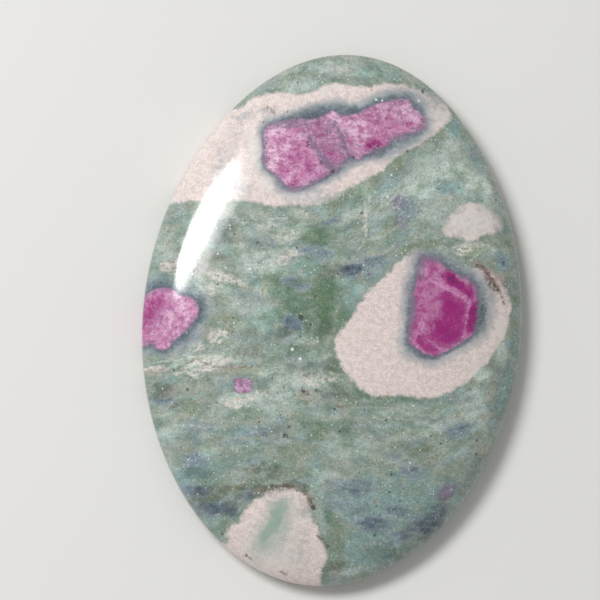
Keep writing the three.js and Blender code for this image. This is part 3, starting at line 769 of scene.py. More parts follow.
class Sheet:
    """One shader tree, with short ways to place and link its nodes. Lengths in it are millimetres."""

    SHARE, FIRST, SECOND, MIXED = 0, 6, 7, 2  # a Mix node's inputs for colours, and its output

    def __init__(self, tree: Tree) -> None:
        """Works on the tree given."""
        self.tree = tree

    def feed(self, socket: Socket, value: Feed) -> None:
        """Links a socket to another, or sets its own value."""
        if isinstance(value, Socket):
            self.tree.links.new(value, socket)
        else:
            socket.default_value = value

    def node(
        self, kind: str, inputs: dict[str | int, Feed] | None = None, **settings: object
    ) -> bpy.types.Node:
        """Places a node.

        Args:
            kind: the node's type without its ShaderNode prefix.
            inputs: values or sockets by input name or number.
            settings: the node's own properties.

        Returns:
            The node.
        """
        node = self.tree.nodes.new("ShaderNode" + kind)
        for name, value in settings.items():
            setattr(node, name, value)
        for name, value in (inputs or {}).items():
            self.feed(node.inputs[name], value)
        return node

    def attribute(self, name: str, vector: bool = False) -> Socket:
        """Reads one of the mesh's attributes."""
        return self.node("Attribute", attribute_name=name).outputs["Vector" if vector else "Fac"]

    def maths(self, operation: str, *values: Feed) -> Socket:
        """One step of arithmetic."""
        return self.node("Math", dict(enumerate(values)), operation=operation).outputs[0]

    def vector(self, operation: str, *values: Feed) -> Socket:
        """One step of vector arithmetic."""
        return self.node("VectorMath", dict(enumerate(values)), operation=operation).outputs[0]

    def spread(self, value: Feed, low: Feed, high: Feed, start: Feed = 0.0, end: Feed = 1.0) -> Socket:
        """Smooth step of a value from low to high, carried from start to end."""
        inputs = {"Value": value, "From Min": low, "From Max": high, "To Min": start, "To Max": end}
        return self.node("MapRange", inputs, interpolation_type="SMOOTHSTEP").outputs[0]

    def raw_noise(self, place: Feed, detail: float) -> Socket:
        """Cloudy noise about 0.5, whose features are about one unit of the place across."""
        return self.node("TexNoise", {"Vector": place, "Scale": 1.0, "Detail": detail}).outputs[0]

    def noise(self, place: Feed, detail: float = 2.0, low: float = 0.36, high: float = 0.64) -> Socket:
        """The same noise with low carried to 0 and high to 1."""
        return self.spread(self.raw_noise(place, detail), low, high)

    def sized(self, place: Feed, sizes: Size, shift: float = 0.0) -> Socket:
        """Divides a place by feature sizes, one for each axis, and shifts it to another part of the noise."""
        divided = self.vector("DIVIDE", place, sizes)
        return self.vector("ADD", divided, (shift, shift, shift)) if shift else divided

    def blend(self, share: Feed, first: Feed, second: Feed, way: str = "MIX") -> Socket:
        """Mixes two colours by a share."""
        node = self.node("Mix", data_type="RGBA", blend_type=way)
        for index, value in ((self.SHARE, share), (self.FIRST, first), (self.SECOND, second)):
            self.feed(node.inputs[index], value)
        return node.outputs[self.MIXED]

    def lit(self, colour: Feed, gain: Feed) -> Socket:
        """Brightens or darkens a colour by a factor."""
        return self.blend(1.0, colour, gain, "MULTIPLY")

    def effect(self, group: Tree, inputs: dict[str, Feed]) -> Socket:
        """Places an effect and returns its first output."""
        return self.node("Group", inputs, node_tree=group).outputs[0]


class Effects:
    """Shader node groups, built once and placed wherever they are needed."""

    EDGE_DETAIL = 2.0
    CLOUD_DETAIL, CLOUD_LOW, CLOUD_HIGH = 3.0, 0.3, 0.7
    LEAST_DOT = 0.3  # radius of the smallest dots, as a share of the largest

    def __init__(self) -> None:
        """Builds every effect."""
        self.ragged_edge = self.build_ragged_edge()
        self.broken_cloud = self.build_broken_cloud()
        self.scattered_dots = self.build_scattered_dots()

    @staticmethod
    def group(name: str, *inputs: str) -> tuple[Sheet, bpy.types.NodeOutputs, Socket]:
        """Makes an empty group that puts out one mask.

        Args:
            name: the group's name.
            inputs: the names of its inputs. Place is a vector and the others are numbers.

        Returns:
            The group's sheet, its inputs by name and its output.
        """
        tree = bpy.data.node_groups.new(name, "ShaderNodeTree")
        for label in inputs:
            kind = "NodeSocketVector" if label == "Place" else "NodeSocketFloat"
            tree.interface.new_socket(label, in_out="INPUT", socket_type=kind)
        tree.interface.new_socket("Mask", in_out="OUTPUT", socket_type="NodeSocketFloat")
        given = tree.nodes.new("NodeGroupInput").outputs
        return Sheet(tree), given, tree.nodes.new("NodeGroupOutput").inputs["Mask"]

    def build_ragged_edge(self) -> Tree:
        """Distance to mask: from 1 to 0 over Softness each side of the edge, which noise moves by Wander."""
        sheet, given, mask = self.group("ragged edge", "Distance", "Place", "Grain", "Wander", "Softness")
        noise = sheet.raw_noise(sheet.vector("DIVIDE", given["Place"], given["Grain"]), self.EDGE_DETAIL)
        drift = sheet.maths("MULTIPLY", sheet.maths("SUBTRACT", noise, 0.5), given["Wander"])
        moved = sheet.maths("ADD", given["Distance"], drift)
        inner = sheet.maths("MULTIPLY", given["Softness"], -1.0)
        sheet.feed(mask, sheet.spread(moved, given["Softness"], inner))
        return sheet.tree

    def build_broken_cloud(self) -> Tree:
        """Strength to mask: the strength swings with noise by Break, and is kept within 0 to 1."""
        sheet, given, mask = self.group("broken cloud", "Amount", "Place", "Break")
        noise = sheet.noise(given["Place"], self.CLOUD_DETAIL, self.CLOUD_LOW, self.CLOUD_HIGH)
        swing = sheet.maths("MULTIPLY", sheet.maths("SUBTRACT", noise, 0.5), given["Break"])
        gain = sheet.maths("MULTIPLY_ADD", swing, 2.0, 1.0)
        sheet.feed(mask, sheet.spread(sheet.maths("MULTIPLY", given["Amount"], gain), 0.0, 1.0))
        return sheet.tree

    def build_scattered_dots(self) -> Tree:
        """Round dots of mixed sizes, one in each cell that is kept: Share of them, up to Radius across."""
        sheet, given, mask = self.group("scattered dots", "Place", "Spacing", "Radius", "Share", "Softness")
        place = sheet.vector("DIVIDE", given["Place"], given["Spacing"])
        cells = sheet.node("TexVoronoi", {"Vector": place, "Scale": 1.0})
        chance = sheet.node("SeparateColor", {0: cells.outputs["Color"]})
        away = sheet.maths("MULTIPLY", cells.outputs["Distance"], given["Spacing"])
        size = sheet.maths("MULTIPLY_ADD", chance.outputs[1], 1 - self.LEAST_DOT, self.LEAST_DOT)
        reach = sheet.maths("MULTIPLY", given["Radius"], size)
        outer, inner = (sheet.maths(way, reach, given["Softness"]) for way in ("ADD", "SUBTRACT"))
        kept = sheet.maths("LESS_THAN", chance.outputs[0], given["Share"])
        sheet.feed(mask, sheet.maths("MULTIPLY", sheet.spread(away, outer, inner), kept))
        return sheet.tree


def paint(red: int, green: int, blue: int) -> Colour:
    """A display colour, 0 to 255, as the linear colour a shader takes: ((c + 0.055) / 1.055)^2.4."""
    return (*(((c / 255 + 0.055) / 1.055) ** 2.4 for c in (red, green, blue)), 1.0)


# ---------------------------------------------------------------------------------------------
# The rock's finish
# ---------------------------------------------------------------------------------------------


@dataclass(frozen=True)
class Noise:
    """Cloudy noise, 0 to 1.

    Attributes:
        sizes: its features along the three axes, in millimetres.
        shift: picks another part of the noise.
        detail: how many finer layers it has.
        swing: how far it moves a value, or lights a colour up and down as a share.
        low: the raw noise that becomes 0.
        high: the raw noise that becomes 1.
    """

    sizes: Size
    shift: float = 0.0
    detail: float = 2.0
    swing: float = 0.0
    low: float = 0.36
    high: float = 0.64


@dataclass(frozen=True)
class Cloud:
    """How the patches of one attribute show.

    Attributes:
        name: the attribute that holds their strength.
        sizes: features of the noise that breaks them up, in millimetres.
        shift: picks another part of the noise.
        breaking: how far the noise swings the strength, as a share.
        most: share of the tint, or change of a value, where the cloud is full.
        tint: their colour, for those that are laid over a colour.
    """

    name: str
    sizes: Size
    shift: float
    breaking: float
    most: float
    tint: Colour | None = None


@dataclass(frozen=True)
class Line:
    """How the threads, the dots or the edges of one attribute show.

    Attributes:
        name: the attribute that holds the distance to them.
        grain: features of the noise that roughens the edge, in millimetres.
        wander: how far the noise moves the edge, in millimetres.
        softness: half the width of the edge's fade, in millimetres.
        most: share of the tint inside.
        tint: their colour, for those that are laid over a colour.
        dusted: how much softer the edge is where the rock is dusty, in millimetres.
    """

    name: str
    grain: float
    wander: float
    softness: float
    most: float = 1.0
    tint: Colour | None = None
    dusted: float = 0.0


@dataclass(frozen=True)
class Dots:
    """Scattered dots.

    Attributes:
        spacing: size of the cells that hold one dot each, in millimetres.
        radius: of the largest dots, in millimetres.
        share: how many of the cells keep their dot.
        softness: half the width of the edge's fade, in millimetres.
        most: share of the tint inside.
        tint: their colour.
    """

    spacing: float
    radius: float
    share: float
    softness: float
    most: float
    tint: Colour


@dataclass(frozen=True)
class Ramp:
    """A smooth step of a value from low to high, carried from start to end."""

    low: float
    high: float
    start: float = 0.0
    end: float = 1.0


class RockSheet(Sheet):
    """The rock's shader tree, with the place in millimetres, the rock's layering and the effects at hand."""

    def __init__(self, tree: Tree, effects: Effects) -> None:
        """Works on the tree given."""
        super().__init__(tree)
        self.effects = effects
        metres = self.node("TexCoord").outputs["Object"]
        self.place = self.vector("DIVIDE", metres, (MM, MM, MM))
        self.layers = self.attribute("foliation", vector=True)

    def ramp(self, value: Feed, ramp: Ramp) -> Socket:
        """Carries a value along a ramp."""
        return self.spread(value, ramp.low, ramp.high, ramp.start, ramp.end)

    def spots(self, noise: Noise, place: Feed | None = None) -> Socket:
        """The noise at a place, or at the stone's own where none is given."""
        where = self.sized(self.place if place is None else place, noise.sizes, noise.shift)
        return self.noise(where, noise.detail, noise.low, noise.high)

    def swung(self, value: Feed, noise: Feed, swing: float) -> Socket:
        """Moves a value up and down: value + swing * (noise - 0.5)."""
        return self.maths("MULTIPLY_ADD", self.maths("SUBTRACT", noise, 0.5), swing, value)

    def flecked(self, colour: Feed, noise: Feed, swing: float) -> Socket:
        """Lights a colour up and down with a noise, by a share each way."""
        return self.lit(colour, self.spread(noise, 0.0, 1.0, 1.0 - swing, 1.0 + swing))

    def cloud(self, cloud: Cloud, place: Feed | None = None) -> Socket:
        """Where a cloud lies, 0 to 1."""
        where = self.sized(self.place if place is None else place, cloud.sizes, cloud.shift)
        inputs = {"Amount": self.attribute(cloud.name), "Place": where, "Break": cloud.breaking}
        return self.effect(self.effects.broken_cloud, inputs)

    def edge(self, line: Line) -> Socket:
        """Where a line lies, 0 to 1."""
        softness = line.softness
        if line.dusted:
            softness = self.maths("MULTIPLY_ADD", self.attribute("dusting"), line.dusted, softness)
        inputs = {"Distance": self.attribute(line.name), "Place": self.place, "Grain": line.grain}
        inputs |= {"Wander": line.wander, "Softness": softness}
        return self.effect(self.effects.ragged_edge, inputs)

    def dots(self, dots: Dots, place: Feed | None = None) -> Socket:
        """Where the dots lie, 0 to 1."""
        inputs = {"Place": self.place if place is None else place, "Spacing": dots.spacing}
        inputs |= {"Radius": dots.radius, "Share": dots.share, "Softness": dots.softness}
        return self.effect(self.effects.scattered_dots, inputs)

    def over(self, colour: Feed, mask: Feed, most: Feed, tint: Feed) -> Socket:
        """Lays a tint over a colour by a mask, whose full strength is the share given."""
        return self.blend(self.maths("MULTIPLY", mask, most), colour, tint)

    def moved(self, value: Feed, cloud: Cloud, place: Feed | None = None) -> Socket:
        """Moves a value where a cloud lies, by the cloud's most where it is full."""
        return self.maths("MULTIPLY_ADD", self.cloud(cloud, place), cloud.most, value)

    def clouded(self, colour: Feed, cloud: Cloud, place: Feed | None = None) -> Socket:
        """Lays a cloud over a colour."""
        return self.over(colour, self.cloud(cloud, place), cloud.most, cloud.tint)

    def lined(self, colour: Feed, line: Line) -> Socket:
        """Lays lines over a colour."""
        return self.over(colour, self.edge(line), line.most, line.tint)

    def dotted(self, colour: Feed, dots: Dots) -> Socket:
        """Lays dots over a colour."""
        return self.over(colour, self.dots(dots), dots.most, dots.tint)


@dataclass(frozen=True)
class RockFinish:
    """Ruby in fuchsite under a high polish. Colours are as they look under full light."""

    sage: Colour = paint(150, 160, 150)
    green: Colour = paint(124, 144, 128)
    umber_green: Colour = paint(108, 124, 108)
    slate_blue: Colour = paint(66, 86, 106)
    pale_blue: Colour = paint(142, 155, 165)
    speck: Colour = paint(52, 50, 44)
    # glint is painted light: the near-white of light caught by the mica, also given to the pale hairs and
    # lines
    glint: Colour = paint(226, 234, 228)
    feldspar: Colour = paint(218, 203, 198)
    feldspar_pale: Colour = paint(228, 215, 211)
    feldspar_grey: Colour = paint(202, 190, 185)
    feldspar_dust: Colour = paint(166, 168, 170)
    jacket_dark: Colour = paint(92, 102, 114)
    jacket_pale: Colour = paint(148, 158, 166)
    jacket_teal: Colour = paint(118, 138, 140)
    ruby_pale: Colour = paint(221, 184, 207)
    ruby_pink: Colour = paint(183, 119, 160)
    ruby_deep: Colour = paint(150, 22, 112)
    ruby_shadow: Colour = paint(96, 26, 76)
    ruby_dusk: Colour = paint(132, 78, 114)
    grey_violet: Colour = paint(118, 104, 126)

    # the green ground
    zones: Noise = Noise((3.2, 2.4, 2.5))
    drifts: tuple[tuple[Noise, float, Colour], ...] = (  # each with its most and its tint
        (Noise((2.1, 1.6, 1.8), 17.0, 1.5), 0.45, paint(156, 178, 173)),
        (Noise((1.6, 1.3, 1.4), 31.0, 1.5), 0.45, paint(166, 163, 149)),
        (Noise((1.9, 1.4, 1.5), 47.0, 1.5), 0.38, paint(120, 141, 150)),
        (Noise((1.4, 1.1, 1.2), 59.0, 1.5), 0.45, umber_green),
    )
    drift_from: Ramp = Ramp(0.3, 1.1)
    clouds: tuple[Cloud, ...] = (
        Cloud("pale", (1.1, 0.9, 0.9), 31.0, 0.5, 0.72, paint(180, 193, 185)),
        Cloud("teal", (1.1, 0.9, 0.9), 31.0, 0.6, 0.75, paint(124, 155, 154)),
        Cloud("moss", (1.1, 0.9, 0.9), 31.0, 0.3, 0.9, paint(84, 112, 84)),
        Cloud("olive", (1.1, 0.9, 0.9), 31.0, 0.6, 0.8, paint(128, 139, 116)),
        Cloud("cream", (0.55, 0.4, 0.5), 33.0, 0.9, 0.75, paint(209, 203, 195)),
        Cloud("violet", (0.55, 0.4, 0.5), 33.0, 0.8, 0.8, paint(124, 104, 130)),
    )
    blades: Cloud = Cloud("blue", (0.8, 0.45, 0.6), 35.0, 0.6, 0.9)
    blade_fibres: Noise = Noise((0.9, 0.4, 0.6), 5.0, 3.0, 0.5, 0.25, 0.75)
    blade_depth: Ramp = Ramp(0.1, 1.35)
    # the shade cloud darkens darker mica and also paints shade along the stone's left and lower edges; the
    # lift cloud lightens
    shades: tuple[Cloud, ...] = (
        Cloud("shade", (1.1, 0.9, 0.9), 31.0, 0.6, -0.4),
        Cloud("lift", (1.1, 0.9, 0.9), 31.0, 0.6, 0.28),
    )
    tufts: Noise = Noise((0.8, 0.6, 0.7), 91.0, 2.0, 0.05)
    fibres: Noise = Noise((0.34, 0.24, 0.3), 77.0, 4.0, 0.05)
    grain: Noise = Noise((0.12, 0.11, 0.12), 9.0, 1.0, 0.12)
    crumbs: Noise = Noise((0.26, 0.22, 0.26), 15.0, 1.0, 0.07)
    fluff: Noise = Noise((0.55, 0.5, 0.6), 37.0, 1.0)
    fluff_line: Ramp = Ramp(0.03, 0.0, 0.0, 0.2)
    fluff_tufts: Ramp = Ramp(0.4, 1.0)
    hairs: Line = Line("hair", 0.3, 0.25, 0.07, 0.55)
    seams: Line = Line("seam", 0.3, 0.6, 0.12, 0.75, paint(112, 102, 82))

    # the feldspar
    halo_edge: Line = Line("halo", 0.5, 0.7, 0.22, dusted=0.5)
    halo_shade: Line = Line("halo", 1.2, 1.2, 1.1, 0.65, umber_green)
    halo_blots: Noise = Noise((0.5, 0.45, 0.5), 3.0, 4.0, 0.3)
    halo_evenness: float = 0.45
    halo_grain: Noise = Noise((0.14, 0.14, 0.14), 21.0, 1.0, 0.09)
    halo_spots: Dots = Dots(0.8, 0.12, 0.4, 0.06, 0.6, paint(170, 146, 138))
    halo_dust: Cloud = Cloud("dusting", (0.5, 0.4, 0.5), 61.0, 0.7, 0.7, feldspar_dust)
    by_jacket: Ramp = Ramp(0.7, -0.1, 0.0, 0.5)
    chalk: Cloud = Cloud("pale", (0.5, 0.4, 0.5), 63.0, 0.7, 0.75, paint(216, 212, 208))
    hearts: Cloud = Cloud("green_heart", (1.2, 1.0, 1.2), 67.0, 0.1, 0.85, paint(132, 161, 148))
    rust: Cloud = Cloud("rust", (0.35, 0.25, 0.35), 71.0, 0.7, 0.65, paint(158, 138, 130))
    stains: Line = Line("stain", 0.22, 0.8, 0.12, 0.7, paint(84, 62, 54))

    # the jackets
    jacket_edge: Line = Line("jacket", 0.6, 0.5, 0.4)
    jacket_least: float = 0.05  # the thinnest that a jacket counts as, in millimetres
    jacket_speckle: Noise = Noise((0.35, 0.3, 0.35), 13.0, 2.5, 0.15)
    jacket_drift: Noise = Noise((1.6, 1.6, 1.6), 29.0)
    jacket_grain: Noise = Noise((0.14, 0.12, 0.14), 9.0, 1.0, 0.08)
    jacket_dust: Cloud = Cloud("dusting", (0.4, 0.4, 0.4), 61.0, 0.8, 0.6, paint(136, 124, 144))
    jacket_thinning: Ramp = Ramp(0.1, 1.0)
    jacket_pales: Ramp = Ramp(0.0, 0.8)
    jacket_cover: float = 0.95
    cover_by_pale: float = -0.5
    cover_by_shade: float = 0.15
    light_by_shade: float = -0.28

    # the rubies
    ruby_edge: Line = Line("ruby", 0.4, 0.4, 0.13, dusted=0.22)
    ruby_threads: Noise = Noise((0.6, 0.2, 0.4), 7.0, 3.0, 0.12)
    ruby_blots: Noise = Noise((0.9, 0.8, 0.9), 11.0, 3.5, 0.28)
    ruby_grain: Noise = Noise((0.16, 0.14, 0.16), 2.0, 2.0, 0.12)
    # pales the rubies where they are broken, and paints a reflection over the edge ruby
    bleaches_and_painted_reflection: Cloud = Cloud("bleach_and_painted_reflection", (0.8, 0.6, 0.6), 23.0, 0.5, -0.3)
    windows: Line = Line("window", 0.5, 0.8, 0.45)
    window_threads: Ramp = Ramp(0.0, 1.0, 0.95, 0.65)
    cores: Cloud = Cloud("core", (0.4, 0.3, 0.4), 19.0, 0.5, 0.4)
    to_pink: Ramp = Ramp(-0.05, 0.55)
    to_deep: Ramp = Ramp(0.45, 1.0)
    to_shadow: Ramp = Ramp(0.95, 1.35)
    murk: Noise = Noise((0.4, 0.35, 0.4), 41.0, 3.5)
    murk_spots: Ramp = Ramp(0.55, 0.95)
    murk_by_grade: Ramp = Ramp(0.75, 0.45, 0.15, 0.5)
    ruby_dust: Cloud = Cloud("dusting", (0.3, 0.25, 0.3), 61.0, 0.8, 0.7, grey_violet)
    grey_veins: Line = Line("cross_vein", 0.3, 0.8, 0.2, 0.85, grey_violet)
    rim_swing: float = 0.5
    rim: Ramp = Ramp(-0.4, 0.0, 0.0, 0.6)
    rim_grain: Ramp = Ramp(0.2, 0.8, 0.3, 1.0)
    pink_veins: Line = Line("vein", 0.3, 0.5, 0.12, 0.7, paint(212, 150, 192))
    crack_cells: Size = (0.7, 0.6, 0.7)
    crack_bend: Size = (0.5, 0.5, 0.5)
    crack_bend_scale: float = 2.5  # bends for each millimetre
    crack_bend_detail: float = 1.0
    crack_gaps: Noise = Noise((1.0, 1.0, 1.0), 83.0, 1.0)
    crack_line: Ramp = Ramp(0.07, 0.01)
    crack_by_grade: Ramp = Ramp(0.6, 0.3, 0.0, 0.6)
    flaws: Dots = Dots(0.8, 0.15, 0.45, 0.07, 0.5, ruby_shadow)

    # specks, and painted glints on the mica
    off_halo: Ramp = Ramp(-0.2, 0.2, 0.1, 1.0)
    pepper: Dots = Dots(0.32, 0.09, 0.45, 0.04, 0.45, speck)
    specks: Dots = Dots(1.0, 0.14, 0.3, 0.06, 0.75, speck)
    own_specks: Line = Line("speck", 0.15, 0.25, 0.07)
    groves: Noise = Noise((2.2, 1.4, 2.2), 57.0)
    grove_share: Ramp = Ramp(0.3, 1.0, 0.2, 0.9)
    painted_glints: Dots = Dots(0.3, 0.08, 0.36, 0.035, 0.85, glint)
    painted_glint_shift: Size = (13.0, 7.0, 3.0)
    own_painted_glints: Line = Line("painted_glint", 0.15, 0.2, 0.05)

    # the polish
    smears: Noise = Noise((0.5, 0.5, 0.5))
    waves: Noise = Noise((1.3, 1.3, 1.3), 4.0, 1.0, 0.0, 0.2, 0.8)
    ripples: Noise = Noise((0.25, 0.25, 0.25), 6.0, 1.0, 0.0, 0.2, 0.8)
    wave_height: float = 0.003  # in millimetres
    ripple_height: float = 0.0003
    roughness: float = 0.10
    smeared_roughness: float = 0.15
    ior: float = 1.56

    def material(self, effects: Effects) -> bpy.types.Material:
        """Builds the rock: ground, feldspar, jackets, rubies, seams and painted glints, under one polish.

        Args:
            effects: the shader node groups.

        Returns:
            The material.
        """
        material = bpy.data.materials.new(STONE_SLOT)
        material.use_nodes = True
        material.node_tree.nodes.clear()
        rock = RockSheet(material.node_tree, effects)
        colour = rock.lined(self.ground(rock), self.seams)
        colour = self.halos(rock, colour)
        colour = self.jackets(rock, colour)
        colour, red = self.rubies(rock, colour)
        colour = self.marks(rock, colour, red)

        smears = rock.spots(self.smears)
        roughness = rock.spread(smears, 0.0, 1.0, self.roughness, self.smeared_roughness)
        slow = rock.maths("MULTIPLY", rock.spots(self.waves), self.wave_height)
        height = rock.maths("MULTIPLY_ADD", rock.spots(self.ripples), self.ripple_height, slow)
        bump = rock.node("Bump", {"Strength": 1.0, "Distance": MM, "Height": height})
        inputs = {"Base Color": colour, "Roughness": roughness, "Normal": bump.outputs[0]}
        shader = rock.node("BsdfPrincipled", inputs)
        shader.inputs["IOR"].default_value = self.ior
        rock.feed(rock.node("OutputMaterial").inputs["Surface"], shader.outputs[0])
        return material

    def ground(self, rock: RockSheet) -> Socket:
        """The green mica rock: slow zones, paler and darker drifts, clouds of minerals, and lighter and
        darker patches, the darker partly painted shade.
        """
        colour = rock.blend(rock.spots(self.zones, rock.layers), self.sage, self.green)
        for noise, most, tint in self.drifts:
            share = rock.ramp(rock.spots(noise, rock.layers), replace(self.drift_from, end=most))
            colour = rock.blend(share, colour, tint)
        for cloud in self.clouds:
            colour = rock.clouded(colour, cloud, rock.layers)
        fibres = rock.spots(self.blade_fibres, rock.layers)
        depth = rock.swung(rock.attribute("blue"), fibres, self.blade_fibres.swing)
        blue = rock.blend(rock.ramp(depth, self.blade_depth), self.pale_blue, self.slate_blue)
        colour = rock.over(colour, rock.cloud(self.blades, rock.layers), self.blades.most, blue)
        light = 1.0
        for cloud in self.shades:
            light = rock.moved(light, cloud, rock.layers)
        return self.mottled(rock, rock.lit(colour, light))

    def mottled(self, rock: RockSheet, colour: Feed) -> Socket:
        """Lights a colour up and down fibre by fibre and grain by grain, and lays fine pale hairs over it."""
        tufts = rock.spots(self.tufts, rock.layers)
        colour = rock.flecked(colour, tufts, self.tufts.swing)
        colour = rock.flecked(colour, rock.spots(self.fibres, rock.layers), self.fibres.swing)
        colour = rock.flecked(colour, rock.spots(self.grain), self.grain.swing)
        colour = rock.flecked(colour, rock.spots(self.crumbs), self.crumbs.swing)
        where = rock.sized(rock.place, self.fluff.sizes, self.fluff.shift)
        level = rock.maths("SUBTRACT", rock.raw_noise(where, self.fluff.detail), 0.5)
        lines = rock.ramp(rock.maths("ABSOLUTE", level), self.fluff_line)
        fluff = rock.maths("MULTIPLY", lines, rock.ramp(tufts, self.fluff_tufts))
        hairs = rock.maths("MULTIPLY", rock.edge(self.hairs), self.hairs.most)
        return rock.blend(rock.maths("MAXIMUM", fluff, hairs), colour, self.glint)

    def halos(self, rock: RockSheet, colour: Feed) -> Socket:
        """White feldspar with faint blots and spots, greyed in places, and green hearts that show through."""
        colour = rock.lined(colour, self.halo_shade)
        blots = rock.spots(self.halo_blots)
        white = rock.blend(blots, self.feldspar_grey, self.feldspar_pale)
        white = rock.blend(self.halo_evenness, white, self.feldspar)
        white = rock.flecked(white, rock.spots(self.halo_grain), self.halo_grain.swing)
        white = rock.clouded(rock.dotted(white, self.halo_spots), self.halo_dust)
        near = rock.swung(rock.attribute("jacket"), blots, self.halo_blots.swing)
        white = rock.blend(rock.ramp(near, self.by_jacket), white, self.feldspar_dust)
        white = rock.clouded(rock.clouded(white, self.chalk), self.hearts)
        colour = rock.blend(rock.edge(self.halo_edge), colour, white)
        return rock.lined(rock.clouded(colour, self.rust), self.stains)

    def jackets(self, rock: RockSheet, colour: Feed) -> Socket:
        """The blue-grey kyanite round each ruby: dark against the crystal, paler and thinner on its way out.

        The way out is the distance from the ruby over the jacket's whole thickness there.
        """
        inner, outer, shade = (rock.attribute(name) for name in ("ruby", "jacket", "shade"))
        thickness = rock.maths("MAXIMUM", rock.maths("SUBTRACT", inner, outer), self.jacket_least)
        speckle = rock.spots(self.jacket_speckle)
        way_out = rock.swung(rock.maths("DIVIDE", inner, thickness), speckle, self.jacket_speckle.swing)
        fade = rock.ramp(way_out, self.jacket_thinning)
        thinning = rock.maths("MULTIPLY", fade, rock.attribute("jacket_grade"))
        cover = rock.maths("MULTIPLY_ADD", rock.attribute("pale"), self.cover_by_pale, self.jacket_cover)
        cover = rock.maths("SUBTRACT", cover, thinning)
        cover = rock.maths("MULTIPLY_ADD", shade, self.cover_by_shade, cover)
        mask = rock.maths("MULTIPLY", rock.edge(self.jacket_edge), rock.maths("MINIMUM", cover, 1.0))
        pale = rock.blend(rock.spots(self.jacket_drift), self.jacket_pale, self.jacket_teal)
        blue = rock.blend(rock.ramp(way_out, self.jacket_pales), self.jacket_dark, pale)
        blue = rock.clouded(blue, self.jacket_dust)
        blue = rock.flecked(blue, rock.spots(self.jacket_grain), self.jacket_grain.swing)
        blue = rock.flecked(blue, speckle, self.jacket_grain.swing)
        light = rock.maths("MULTIPLY_ADD", shade, self.light_by_shade, 1.0)
        return rock.blend(mask, colour, rock.lit(blue, light))

    def rubies(self, rock: RockSheet, colour: Feed) -> tuple[Feed, Feed]:
        """The crystals: pink, deep magenta where they are thick and clear, pale where they are broken.

        Args:
            rock: the sheet.
            colour: what lies under them.

        Returns:
            The colour with the rubies over it, and where they lie.
        """
        threads = rock.spots(self.ruby_threads, rock.attribute("lattice", vector=True))
        blots = rock.spots(self.ruby_blots)
        grain = rock.spots(self.ruby_grain)
        grade = rock.attribute("ruby_grade")
        depth = rock.swung(grade, blots, self.ruby_blots.swing)
        depth = rock.swung(depth, threads, self.ruby_threads.swing)
        depth = rock.moved(depth, self.bleaches_and_painted_reflection)
        clear = rock.maths("MULTIPLY", rock.edge(self.windows), rock.ramp(threads, self.window_threads))
        deeper = rock.maths("SUBTRACT", rock.attribute("window_grade"), depth)
        depth = rock.moved(rock.maths("MULTIPLY_ADD", clear, deeper, depth), self.cores)
        red = rock.blend(rock.ramp(depth, self.to_pink), self.ruby_pale, self.ruby_pink)
        red = rock.blend(rock.ramp(depth, self.to_deep), red, self.ruby_deep)
        red = rock.blend(rock.ramp(depth, self.to_shadow), red, self.ruby_shadow)
        red = rock.flecked(red, grain, self.ruby_grain.swing)

        murk = rock.ramp(rock.spots(self.murk), self.murk_spots)
        red = rock.over(red, murk, rock.ramp(grade, self.murk_by_grade), self.ruby_dusk)
        red = rock.lined(rock.clouded(red, self.ruby_dust), self.grey_veins)
        rim = rock.ramp(rock.swung(rock.attribute("ruby"), blots, self.rim_swing), self.rim)
        red = rock.over(red, rim, rock.ramp(grain, self.rim_grain), self.grey_violet)
        red = self.crackle(rock, grade, rock.lined(red, self.pink_veins))
        mask = rock.edge(self.ruby_edge)
        return rock.blend(mask, colour, rock.dotted(red, self.flaws)), mask

    def crackle(self, rock: RockSheet, grade: Feed, red: Feed) -> Socket:
        """A net of fine healed cracks, pale, in the crystals that aren't clear."""
        inputs = {"Vector": rock.place, "Scale": self.crack_bend_scale, "Detail": self.crack_bend_detail}
        warp = rock.node("TexNoise", inputs).outputs["Color"]
        bent = rock.vector("MULTIPLY_ADD", warp, self.crack_bend, rock.sized(rock.place, self.crack_cells))
        cells = rock.node("TexVoronoi", {"Vector": bent, "Scale": 1.0}, feature="DISTANCE_TO_EDGE")
        lines = rock.ramp(cells.outputs["Distance"], self.crack_line)
        lines = rock.maths("MULTIPLY", lines, rock.spots(self.crack_gaps))
        return rock.over(red, lines, rock.ramp(grade, self.crack_by_grade), self.ruby_pale)

    def marks(self, rock: RockSheet, colour: Feed, red: Feed) -> Socket:
        """Dark specks, and painted glints: bright dots for light caught by the mica, scattered and in their
        own places.
        """
        off_halo = rock.ramp(rock.attribute("halo"), self.off_halo)
        ground = rock.maths("MULTIPLY", rock.maths("SUBTRACT", 1.0, red), off_halo)
        thin = rock.maths("MULTIPLY", ground, self.pepper.most)
        colour = rock.over(colour, rock.dots(self.pepper), thin, self.speck)
        dark = rock.maths("MULTIPLY", rock.dots(self.specks), ground)
        dark = rock.maths("MAXIMUM", dark, rock.edge(self.own_specks))
        colour = rock.over(colour, dark, self.specks.most, self.speck)
        # where the painted glints show: in groves of noise and in the teal patches
        lively = rock.ramp(rock.spots(self.groves), self.grove_share)
        lively = rock.maths("MULTIPLY", ground, rock.maths("MAXIMUM", lively, rock.attribute("teal")))
        shifted = rock.vector("ADD", rock.place, self.painted_glint_shift)
        bright = rock.maths("MULTIPLY", rock.dots(self.painted_glints, shifted), lively)
        bright = rock.maths("MAXIMUM", bright, rock.edge(self.own_painted_glints))
        return rock.over(colour, bright, self.painted_glints.most, self.glint)


# ---------------------------------------------------------------------------------------------
# The cut stone's form
# ---------------------------------------------------------------------------------------------


